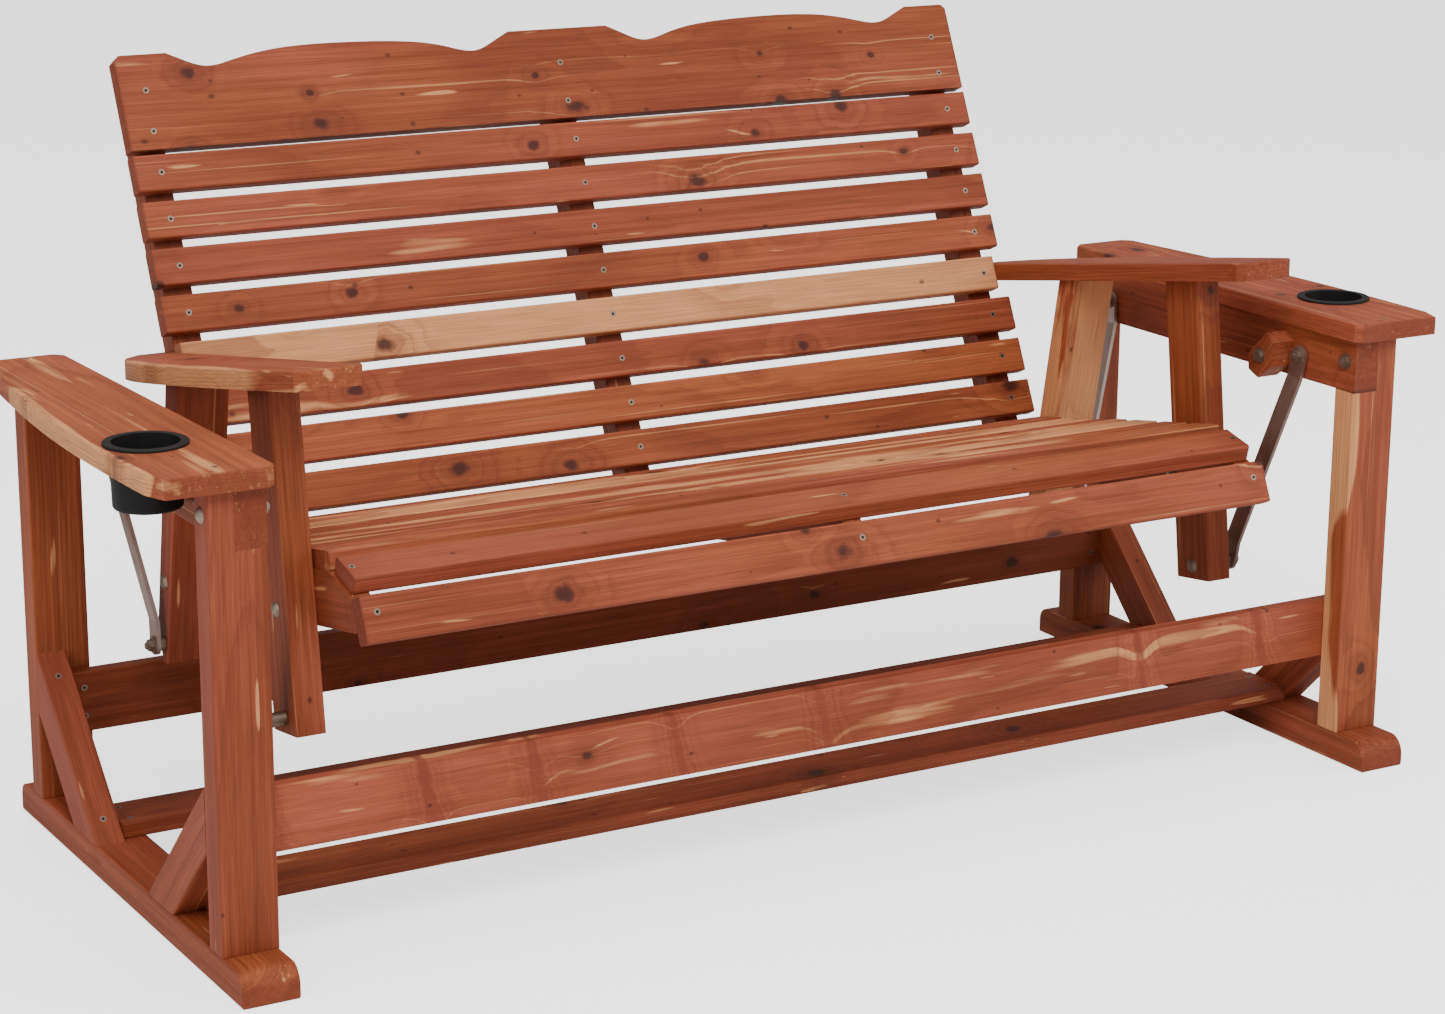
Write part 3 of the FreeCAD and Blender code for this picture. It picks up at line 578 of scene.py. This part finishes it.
    def pin_knots(self) -> Socket:
        """Small dark pin knots between the large ones.

        Returns:
            Where they are, from 0 to their depth.
        """
        g, cedar = self.graph, self.finish
        near, _, active = self.spots(cedar.pin_cell, cedar.pin_radius, self.seed,
                                     g.times(self.given("Knots"), cedar.pins_to_knots))
        return g.times(g.ramp(near, *cedar.pin_range, cedar.pin_depth, 0.0), active)

    def spikes(self) -> tuple[Socket, Socket]:
        """Branches sawn along their length, each a dark bar across the board.

        Returns:
            How far the grain is lifted at them, and the bars.
        """
        g, cedar = self.graph, self.finish
        leaning = g.add(self.x, g.times(self.y, cedar.spike_lean))
        cell = g.node("TexVoronoi", voronoi_dimensions="1D", feature="F1")
        g.feed(cell.inputs["W"], g.add(g.divide(leaning, cedar.spike_spacing), self.seed))
        cell.inputs["Scale"].default_value = 1.0
        chance, _ = g.draw(cell.outputs["Color"])
        active = g.math("LESS_THAN", chance, self.given("Spikes"))
        ragged = g.noise(self.on_face(cedar.spike_ragged_scale))
        away = g.times(cell.outputs["Distance"], cedar.spike_spacing)
        away = g.add(away, g.swing(ragged, cedar.spike_ragged))
        bar = g.times(g.fade(away, *cedar.spike_range), active)
        reach = g.fade(away, *cedar.lift_range)
        lift = g.times(g.times(reach, reach), g.times(active, cedar.lift))
        return lift, bar

    def rings(self, bend: Socket) -> tuple[Socket, Socket]:
        """Growth rings about the log's heart.

        Args:
            bend: how far knots and spikes push the rings aside.

        Returns:
            Wide soft bands, and thin lines of late wood.
        """
        g, cedar = self.graph, self.finish
        sway = g.swing(g.noise(g.stretch(self.along, cedar.sway_scale), 1.0), cedar.sway)
        aside = g.subtract(self.y, self.given("Pith Y"))
        behind = g.add(g.subtract(self.z, self.given("Pith Z")),
                       g.times(self.x, self.given("Taper")))
        radius = g.math("SQRT", g.add(g.times(aside, aside), g.times(behind, behind)))
        radius = g.add(g.add(radius, sway), bend)
        ripple = g.noise(g.stretch(self.along, cedar.ripple_scale))
        radius = g.add(radius, g.times(ripple, cedar.ripple))
        phase = g.divide(radius, cedar.ring_width)
        part = g.math("FRACT", phase)
        late = g.times(g.ramp(part, cedar.late_start, cedar.late_peak),
                       g.fade(part, cedar.late_peak, 1.0))
        age = g.node("TexNoise", noise_dimensions="1D")
        g.feed(age.inputs["W"], g.times(g.math("FLOOR", phase), cedar.age_step))
        age.inputs["Scale"].default_value = 1.0
        strength = g.ramp(age.outputs["Fac"], *cedar.age_range, cedar.faintest_ring, 1.0)
        band = g.noise(g.vector(g.times(phase, cedar.band_step), 0.0, self.seed), 1.0)
        return g.ramp(band, *cedar.band_range), g.times(late, strength)

    def sapwood(self, bend: Socket) -> Socket:
        """Pale patches, short flecks and long threads, and one pale edge beyond Sap Edge.

        Args:
            bend: how far knots and spikes push the grain aside.

        Returns:
            How pale the wood is, from 0 to 1.
        """
        g, cedar = self.graph, self.finish
        sap = self.given("Sap")
        bent = g.vector_math("ADD", self.along, g.vector(0.0, bend, 0.0))
        kinds = []
        for scale, (level, fall), gain, detail, rough in (
                (cedar.patch_scale, cedar.patch_level, cedar.patch_gain, 3.0, 0.5),
                (cedar.fleck_scale, cedar.fleck_level, cedar.fleck_gain, 0.5, 0.4),
                (cedar.thread_scale, cedar.thread_level, cedar.thread_gain, 1.0, 0.5)):
            pale = g.noise(g.stretch(bent, scale), detail, rough)
            kinds.append(g.above(pale, g.subtract(level, g.times(sap, fall)), gain))
        patch, fleck, thread = kinds
        bay = g.noise(g.stretch(self.along, cedar.bay_scale))
        edge = g.add(g.subtract(self.y, self.given("Sap Edge")), g.swing(bay, cedar.bay_depth))
        edge = g.times(edge, cedar.edge_gain, clamp=True)
        fine = g.math("MAXIMUM", fleck, g.times(thread, cedar.thread_share))
        return g.math("MAXIMUM", g.math("MAXIMUM", patch, edge), fine)


@dataclass(frozen=True)
class SteelFinish:
    """Dull plated steel with stains and fine scratches; made near black, it also paints the shade
    in the screws' sockets.
    """
    name: str
    colour: Colour
    roughness: float
    stain: Colour = (0.12, 0.06, 0.035)
    stain_share: float = 0.3
    stain_scale: Triple = (55.0, 55.0, 20.0)
    stain_range: Pair = (0.45, 0.72)
    scratch_scale: Triple = (900.0, 900.0, 60.0)
    scratch_rough: float = 0.18
    scratch_depth: float = 0.0001
    scratch_strength: float = 0.5

    def material(self) -> bpy.types.Material:
        """Build the steel material.

        Returns:
            The finished material.
        """
        made, g, shader = new_material(self.name)
        place = g.node("TexCoord").outputs["Object"]
        patch = g.noise(g.stretch(place, self.stain_scale), 4.0, 0.6)
        scratch = g.noise(g.stretch(place, self.scratch_scale))
        worn = g.times(g.ramp(patch, *self.stain_range), self.stain_share)
        g.feed(shader.inputs["Base Color"], g.mix(worn, self.colour, self.stain))
        shader.inputs["Metallic"].default_value = 1.0
        g.feed(shader.inputs["Roughness"],
               g.add(self.roughness, g.times(scratch, self.scratch_rough)))
        g.bump(shader, scratch, self.scratch_depth, self.scratch_strength)
        return made


@dataclass(frozen=True)
class MouldedPlastic:
    """Black moulded plastic with a fine texture and a little dust."""
    colour: Colour = (0.005, 0.0045, 0.0045)
    dust: Colour = (0.022, 0.019, 0.018)
    dust_share: float = 0.4
    dust_scale: Triple = (40.0, 40.0, 40.0)
    roughness: float = 0.50
    specular: float = 0.22
    grain_scale: Triple = (900.0, 900.0, 900.0)
    grain_rough: float = 0.15
    grain_depth: float = 0.00012

    def material(self) -> bpy.types.Material:
        """Build the plastic material.

        Returns:
            The finished material.
        """
        made, g, shader = new_material("cup_plastic")
        place = g.node("TexCoord").outputs["Object"]
        grain = g.noise(g.stretch(place, self.grain_scale))
        dust = g.noise(g.stretch(place, self.dust_scale), 3.0)
        g.feed(shader.inputs["Base Color"],
               g.mix(g.times(dust, self.dust_share), self.colour, self.dust))
        g.feed(shader.inputs["Roughness"],
               g.add(self.roughness, g.times(grain, self.grain_rough)))
        shader.inputs["Specular IOR Level"].default_value = self.specular
        g.bump(shader, grain, self.grain_depth)
        return made


# ---------------------------------------------------------------- boards
@dataclass
class Board:
    """One CAD board and the piece of cedar it is cut from.

    Knots, sap, tone and spikes run from 0 to 1. The sap edge is how far across from the
    board's middle its pale edge starts, and the taper how fast the heart of the log
    draws away along it.
    """
    node: str
    along: Triple
    across: Triple
    cut: Cut = Cut.FLAT
    knots: float = 0.35
    sap: float = 0.20
    tone: float = 0.5
    taper: float = 0.010
    spikes: float = 0.0
    sap_edge: float = NO_SAP_EDGE
    blush: float = 0.0
    specular: float = 0.22
    grain_depth: float = 0.0005
    grain_strength: float = 0.55

    def turn(self) -> Euler:
        """The board's own axes as a rotation.

        Returns:
            The turn that lays X with the grain and Y across the face.
        """
        x = Vector(self.along).normalized()
        z = x.cross(Vector(self.across)).normalized()
        y = z.cross(x)
        return Matrix((x, y, z)).transposed().to_euler("XYZ")

    def half_length(self) -> float:
        """Half the board's length, for the darker wood at its ends.

        Returns:
            The half length where the board lies along one axis; otherwise a length far
            past its ends, which darkens nothing.
        """
        low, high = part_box(self.node)
        if max(abs(part) for part in self.along) < STRAIGHT:
            return PAST_ENDS
        return abs(Vector(self.along).dot(Vector(high) - Vector(low))) / 2

    def dress(self, group: bpy.types.NodeTree, seed: float) -> None:
        """Give the board's node its material.

        Args:
            group: the shared cedar pattern.
            seed: which stretch of the log this board comes from.
        """
        low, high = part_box(self.node)
        material, g, shader = new_material("cedar_" + self.node)
        place = g.node("Mapping", vector_type="TEXTURE")
        g.feed(place.inputs["Vector"], g.node("TexCoord").outputs["Object"])
        place.inputs["Location"].default_value = (low + high) / 2
        place.inputs["Rotation"].default_value = self.turn()
        cedar = g.node("Group", node_tree=group)
        g.feed(cedar.inputs["Vector"], place.outputs[0])
        pith_y, pith_z = self.cut.value
        if seed % 2 >= 1:
            pith_y = -pith_y
        for name, value in (("Seed", seed), ("Pith Y", pith_y), ("Pith Z", pith_z),
                            ("Taper", self.taper), ("Knots", self.knots),
                            ("Spikes", self.spikes), ("Sap", self.sap),
                            ("Sap Edge", self.sap_edge), ("Tone", self.tone),
                            ("Blush", self.blush), ("Half Length", self.half_length())):
            cedar.inputs[name].default_value = value
        g.feed(shader.inputs["Base Color"], cedar.outputs["Color"])
        g.feed(shader.inputs["Roughness"], cedar.outputs["Roughness"])
        shader.inputs["Specular IOR Level"].default_value = self.specular
        g.bump(shader, cedar.outputs["Height"], self.grain_depth, self.grain_strength)
        put_on(self.node, material)


def tilted(degrees: float) -> Triple:
    """Direction in the side view, turned up from straight back by an angle."""
    return (0.0, math.cos(math.radians(degrees)), math.sin(math.radians(degrees)))


# ---------------------------------------------------------------- sub-assemblies
@dataclass
class BaseFrame:
    """Feet, posts, rails, knee braces, stretchers and outer arms."""
    brace_angle: float = 45.0
    stop_angle: float = -50.0

    def boards(self) -> list[Board]:
        """Choose the wood of the fixed frame.

        Returns:
            Its boards, each with its own grain.
        """
        made = []
        for side in SIDES:
            left = side == "left"
            made += [
                Board("foot_" + side, BACK, RIGHT, Cut.RIFT, knots=0.2, sap=0.16, tone=0.38),
                Board("post_front_" + side, UP, LEFT, Cut.FLAT if left else Cut.HEART,
                      knots=0.16 if left else 0.42, sap=0.12 if left else 0.26,
                      tone=0.40 if left else 0.62,
                      sap_edge=NO_SAP_EDGE if left else 0.030),
                Board("post_rear_" + side, UP, RIGHT, Cut.QUARTER, knots=0.12, sap=0.1,
                      tone=0.46, blush=-0.12),
                Board("side_rail_" + side, BACK, UP, Cut.RIFT, knots=0.45,
                      sap=0.12 if left else 0.18, tone=0.12 if left else 0.26,
                      blush=-0.10),
                Board("brace_front_" + side, tilted(-self.brace_angle), RIGHT, Cut.RIFT,
                      knots=0.3, sap=0.26, tone=0.45),
                Board("brace_rear_" + side, tilted(self.brace_angle), RIGHT, Cut.RIFT,
                      knots=0.2, sap=0.22, tone=0.55),
                Board("stop_block_" + side, tilted(self.stop_angle), RIGHT, Cut.HEART,
                      knots=0.2, sap=0.3, tone=0.55),
                Board("outer_arm_" + side, BACK, LEFT, Cut.FLAT, knots=0.22,
                      sap=0.34 if left else 0.22, tone=0.60 if left else 0.62,
                      taper=0.015, sap_edge=0.060 if left else NO_SAP_EDGE),
            ]
        made += [
            Board("stretcher_front_upper", RIGHT, UP, Cut.FLAT, knots=0.3, sap=0.40,
                  tone=0.80, taper=0.014, spikes=0.62, blush=0.12),
            # its very low tone is painted shade: this rail lies in the shadow under the seat
            Board("stretcher_rear_upper", RIGHT, UP, Cut.FLAT, knots=0.3, sap=0.1,
                  tone=0.06, taper=0.009),
            Board("stretcher_front_lower", RIGHT, BACK, Cut.FLAT, knots=0.35, sap=0.3,
                  tone=0.5, taper=0.012),
            Board("stretcher_rear_lower", RIGHT, BACK, Cut.FLAT, knots=0.3, sap=0.2,
                  tone=0.4, taper=0.009),
        ]
        return made


@dataclass
class SeatBody:
    """Seat ribs, slats, back and the seat's own arms."""
    seat_tilt: float = -10.0
    nose_tilt: float = 14.3
    fascia_tilt: float = 66.0
    back_angle: float = 65.2
    arm_fall: float = -9.6
    front_support: float = 82.5
    rear_support: float = 100.2
    back_tones: tuple[float, ...] = (0.50, 0.64, 0.54, 0.74, 0.50, 0.46, 0.58, 0.56)
    back_sap: tuple[float, ...] = (0.12, 0.22, 0.30, 0.95, 0.14, 0.28, 0.20, 0.16)
    seat_tones: tuple[float, ...] = (0.70, 0.52, 0.62, 0.58, 0.72, 0.55)
    seat_sap: tuple[float, ...] = (0.34, 0.52, 0.62, 0.48, 0.68, 0.5)

    def boards(self) -> list[Board]:
        """Choose the wood of the hanging seat.

        Returns:
            Its boards, each with its own grain.
        """
        return self.slats() + self.front_and_middle() + [
            board for side in SIDES for board in self.one_side(side)]

    def slats(self) -> list[Board]:
        """The thin slats of the back and the seat.

        Returns:
            The back slats from the seat upwards, then the seat slats from the front.
        """
        back, seat = tilted(self.back_angle), tilted(self.seat_tilt)
        made = []
        for i, (tone, sap) in enumerate(zip(self.back_tones, self.back_sap)):
            made.append(Board(f"back_slat_{i + 1}", RIGHT, back, Cut.FLAT, knots=0.42, sap=sap,
                              tone=tone, taper=0.008 + 0.004 * (i % 3),
                              blush=-0.14 if i < 2 else 0.03 * (i % 4)))
        for i, (tone, sap) in enumerate(zip(self.seat_tones, self.seat_sap)):
            made.append(Board(f"seat_slat_{i + 1}", RIGHT, seat, Cut.RIFT, knots=0.2, sap=sap,
                              tone=tone, taper=0.010))
        return made

    def front_and_middle(self) -> list[Board]:
        """The shaped boards, and those in the middle.

        Returns:
            Crest, nosing, fascia, centre rib and centre support.
        """
        back, seat = tilted(self.back_angle), tilted(self.seat_tilt)
        return [
            Board("crest_board", RIGHT, back, Cut.FLAT, knots=0.72, sap=0.26, tone=0.36,
                  taper=0.012, blush=-0.05),
            Board("nosing_slat", RIGHT, tilted(self.nose_tilt), Cut.FLAT, knots=0.25,
                  sap=0.12, tone=0.76, sap_edge=0.040),
            Board("front_fascia", RIGHT, tilted(self.fascia_tilt), Cut.FLAT, knots=0.4,
                  sap=0.3, tone=0.46, taper=0.012, blush=0.12),
            Board("seat_rib_centre", seat, UP, Cut.FLAT, knots=0.2, sap=0.1, tone=0.3),
            Board("back_support_centre", back, RIGHT, Cut.RIFT, knots=0.2, sap=0.1,
                  tone=0.3),
        ]

    def one_side(self, side: str) -> list[Board]:
        """The boards at one end of the seat.

        Args:
            side: left or right.

        Returns:
            Rib, back support, arm and the arm's two supports.
        """
        right = side == "right"
        back, seat = tilted(self.back_angle), tilted(self.seat_tilt)
        return [
            Board("seat_rib_" + side, seat, UP, Cut.FLAT, knots=0.2, sap=0.1, tone=0.2),
            Board("back_support_" + side, back, RIGHT, Cut.RIFT, knots=0.2, sap=0.1,
                  tone=0.25),
            Board("inner_arm_" + side, tilted(self.arm_fall), LEFT, Cut.FLAT, knots=0.15,
                  sap=0.22 if right else 0.34, tone=0.40 if right else 0.62,
                  sap_edge=NO_SAP_EDGE if right else 0.036),
            Board("arm_support_front_" + side, tilted(self.front_support), RIGHT, Cut.FLAT,
                  knots=0.15, sap=0.14, tone=0.30),
            Board("arm_support_rear_" + side, tilted(self.rear_support), RIGHT, Cut.RIFT,
                  knots=0.12, sap=0.8 if right else 0.3, tone=0.8 if right else 0.4),
        ]


@dataclass
class Hardware:
    """Straps, bolts, screws, the cup holders, and dark discs of painted shade in the screws'
    sockets.
    """
    # dull steel colour tinted brown as a painted reflection of the wood around the strap
    strap: SteelFinish = SteelFinish("strap_steel", (0.42, 0.32, 0.28), 0.36)
    zinc: SteelFinish = SteelFinish("zinc_plate", (0.31, 0.24, 0.19), 0.42)
    # near-black finish that paints the shade in the screws' driver sockets
    shade: SteelFinish = SteelFinish("socket_shade", (0.045, 0.022, 0.014), 0.60,
                                     stain_share=0.5)
    plastic: MouldedPlastic = MouldedPlastic()
    # painted socket shade: a thin dark disc and a cross of two bars, this deep in each socket
    socket_depth: float = 0.00115
    shade_disc_thickness: float = 0.0003
    shade_disc_radius: float = 0.00165
    shade_disc_facets: int = 14
    shade_cross_bar: Triple = (0.0024, 0.0006, 0.0007)
    merge_distance: float = 1e-6

    def dress(self) -> None:
        """Put the metal and plastic finishes on, and paint shade into the screws' sockets with
        dark discs and crosses.
        """
        strap, zinc, plastic = self.strap.material(), self.zinc.material(), self.plastic.material()
        for end in ("front", "rear"):
            for side in SIDES:
                put_on(f"link_{end}_{side}", strap)
        for node in ("frame_bolts", "seat_bolts", "frame_screws", "seat_screws"):
            put_on(node, zinc)
        for side in SIDES:
            put_on("cup_holder_" + side, plastic)
        shade = self.shade.material()
        for node, body in (("frame_screws", "base"), ("seat_screws", "seat")):
            self.line_sockets(node, body, shade)

    def line_sockets(self, node: str, body: str, shade: bpy.types.Material) -> None:
        """Put a dark disc and cross of painted shade in the driver socket in the head of every
        screw of a node.

        Args:
            node: the CAD node that holds the screws.
            body: the body that they ride on.
            shade: the dark material of the painted shade in the sockets.
        """
        screws = bmesh.new()
        screws.from_mesh(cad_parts[node].data)
        bmesh.ops.remove_doubles(screws, verts=screws.verts, dist=self.merge_distance)
        heads = screw_heads(screws)
        screws.free()
        made = bmesh.new()
        bar = Matrix.Diagonal((*self.shade_cross_bar, 1.0))
        # each head gets a dark disc and cross of painted shade in its socket
        for middle, out in heads:
            bottom = Matrix.Translation(middle - out * self.socket_depth)
            turn = out.to_track_quat("Z", "Y").to_matrix().to_4x4()
            bmesh.ops.create_cone(made, cap_ends=True, cap_tris=False,
                                  segments=self.shade_disc_facets, radius1=self.shade_disc_radius,
                                  radius2=self.shade_disc_radius, depth=self.shade_disc_thickness,
                                  matrix=bottom @ turn)
            for across in (0.0, math.pi / 2):
                cross = Matrix.Rotation(across, 4, "Z")
                bmesh.ops.create_cube(made, size=1.0, matrix=bottom @ turn @ cross @ bar)
        mesh = bpy.data.meshes.new(node + "_sockets")
        made.to_mesh(mesh)
        made.free()
        mesh.materials.append(shade)
        piece = bpy.data.objects.new(node + "_sockets", mesh)
        bpy.context.scene.collection.objects.link(piece)
        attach(piece, body)
        log.info("%s: %d sockets", piece.name, len(heads))


def islands(mesh: bmesh.types.BMesh) -> list[list[Vector]]:
    """Split a mesh into its loose parts.

    Args:
        mesh: separate parts in one merged mesh.

    Returns:
        The corner places of each part.
    """
    found = []
    unseen = set(mesh.verts)
    for start in mesh.verts:
        if start not in unseen:
            continue
        unseen.discard(start)
        queue, island = [start], []
        while queue:
            vert = queue.pop()
            island.append(vert.co.copy())
            for edge in vert.link_edges:
                other = edge.other_vert(vert)
                if other in unseen:
                    unseen.discard(other)
                    queue.append(other)
        found.append(island)
    return found


def screw_heads(screws: bmesh.types.BMesh) -> list[tuple[Vector, Vector]]:
    """Find the middle of each screw's head.

    Args:
        screws: separate screws in one merged mesh.

    Returns:
        The middle of every head's face, and the direction it faces.
    """
    heads = []
    for island in islands(screws):
        one, two = island[0], island[0]
        for _ in range(3):
            two = max(island, key=lambda co: (co - one).length)
            one, two = two, one
        span = (one - two).normalized()
        ends = []
        for far in (span, -span):
            reach = max(co.dot(far) for co in island)
            ring = [co for co in island if co.dot(far) > reach - HEAD_RING]
            middle = sum(ring, Vector()) / len(ring)
            ends.append((max((co - middle).length for co in ring), middle))
        ends.sort(key=lambda end: end[0], reverse=True)
        (_, head), (_, tip) = ends
        heads.append((head, (head - tip).normalized()))
    return heads


# ---------------------------------------------------------------- studio
@dataclass(frozen=True)
class Lamp:
    """One square soft light, with its place, the length of its side and its watts."""
    name: str
    place: Triple
    size: float
    power: float
    aim: Triple = (0.0, 0.0, 0.4)

    def hang(self) -> None:
        """Put the light in the scene, aimed at the bench."""
        data = bpy.data.lights.new(self.name, "AREA")
        data.size = self.size
        data.energy = self.power
        lamp = bpy.data.objects.new(self.name, data)
        lamp.location = self.place
        beam = Vector(self.aim) - Vector(self.place)
        lamp.rotation_euler = beam.to_track_quat("-Z", "Y").to_euler()
        bpy.context.scene.collection.objects.link(lamp)


@dataclass
class Studio:
    """Pale floor, soft lights and the camera."""
    lens: float = 83.395
    sensor: float = 36.0
    clip_end: float = 100.0
    eye: Triple = (-2.0283, -3.5317, 1.4376)
    yaw: float = 0.52842
    pitch: float = 0.26108
    roll: float = 0.00574
    floor_half: float = 30.0
    floor_drop: float = 0.0005
    floor_colour: Colour = (0.90, 0.895, 0.89)
    floor_rough: float = 0.9
    floor_glow: float = 1.6
    ambient: float = 0.42
    sky_glow: float = 1.75
    lamps: tuple[Lamp, ...] = (Lamp("key", (-1.7, -3.3, 4.2), 2.2, 205.0),
                               Lamp("fill", (3.2, -2.6, 2.0), 2.6, 60.0),
                               Lamp("top", (0.2, 0.4, 4.2), 2.6, 75.0),
                               Lamp("left", (-3.8, -0.4, 1.9), 2.0, 34.0))

    def build(self) -> None:
        """Make the floor, the surroundings, the lights and the camera."""
        self.lay_floor()
        self.light_world()
        for lamp in self.lamps:
            lamp.hang()
        self.place_camera()

    def lay_floor(self) -> None:
        """A wide plain floor, just under the feet, that glows a little to the camera."""
        bm = bmesh.new()
        bmesh.ops.create_grid(bm, x_segments=1, y_segments=1, size=self.floor_half)
        mesh = bpy.data.meshes.new("floor")
        bm.to_mesh(mesh)
        bm.free()
        floor = bpy.data.objects.new("floor", mesh)
        floor.location.z = -self.floor_drop
        bpy.context.scene.collection.objects.link(floor)
        material, g, shader = new_material("floor")
        shader.inputs["Base Color"].default_value = (*self.floor_colour, 1.0)
        shader.inputs["Roughness"].default_value = self.floor_rough
        shader.inputs["Specular IOR Level"].default_value = 0.0
        shader.inputs["Emission Color"].default_value = WHITE
        seen = g.node("LightPath").outputs["Is Camera Ray"]
        g.feed(shader.inputs["Emission Strength"], g.times(seen, self.floor_glow))
        mesh.materials.append(material)

    def light_world(self) -> None:
        """Even white surroundings, brighter where the camera sees them."""
        world = bpy.data.worlds.new("studio")
        world.use_nodes = True
        g = Graph(world.node_tree)
        sky = g.node("Background")
        sky.inputs["Color"].default_value = WHITE
        seen = g.node("LightPath").outputs["Is Camera Ray"]
        g.feed(sky.inputs["Strength"], g.add(self.ambient, g.times(seen, self.sky_glow)))
        g.feed(g.node("OutputWorld").inputs["Surface"], sky.outputs[0])
        bpy.context.scene.world = world

    def place_camera(self) -> None:
        """A long lens looking down on the bench from the front left."""
        forward = Vector((math.sin(self.yaw) * math.cos(self.pitch),
                          math.cos(self.yaw) * math.cos(self.pitch), -math.sin(self.pitch)))
        level = Vector((math.cos(self.yaw), -math.sin(self.yaw), 0.0))
        above = level.cross(forward)
        right = math.cos(self.roll) * level + math.sin(self.roll) * above
        up = math.cos(self.roll) * above - math.sin(self.roll) * level
        data = bpy.data.cameras.new("camera")
        data.lens = self.lens
        data.sensor_width = self.sensor
        data.clip_end = self.clip_end
        camera = bpy.data.objects.new("camera", data)
        turn = Matrix((right, up, -forward)).transposed().to_4x4()
        camera.matrix_world = Matrix.Translation(self.eye) @ turn
        bpy.context.scene.collection.objects.link(camera)
        bpy.context.scene.camera = camera


def main() -> None:
    """Dress every sub-assembly and set up the studio."""
    logging.basicConfig(level=logging.INFO, format="%(message)s")
    group = CedarPattern(CedarFinish()).build()
    boards = BaseFrame().boards() + SeatBody().boards()
    for index, board in enumerate(boards):
        board.dress(group, FIRST_SEED + SEED_STEP * index)
    log.info("cedar on %d boards", len(boards))
    Hardware().dress()
    Studio().build()


if __name__ == "__main__":
    main()
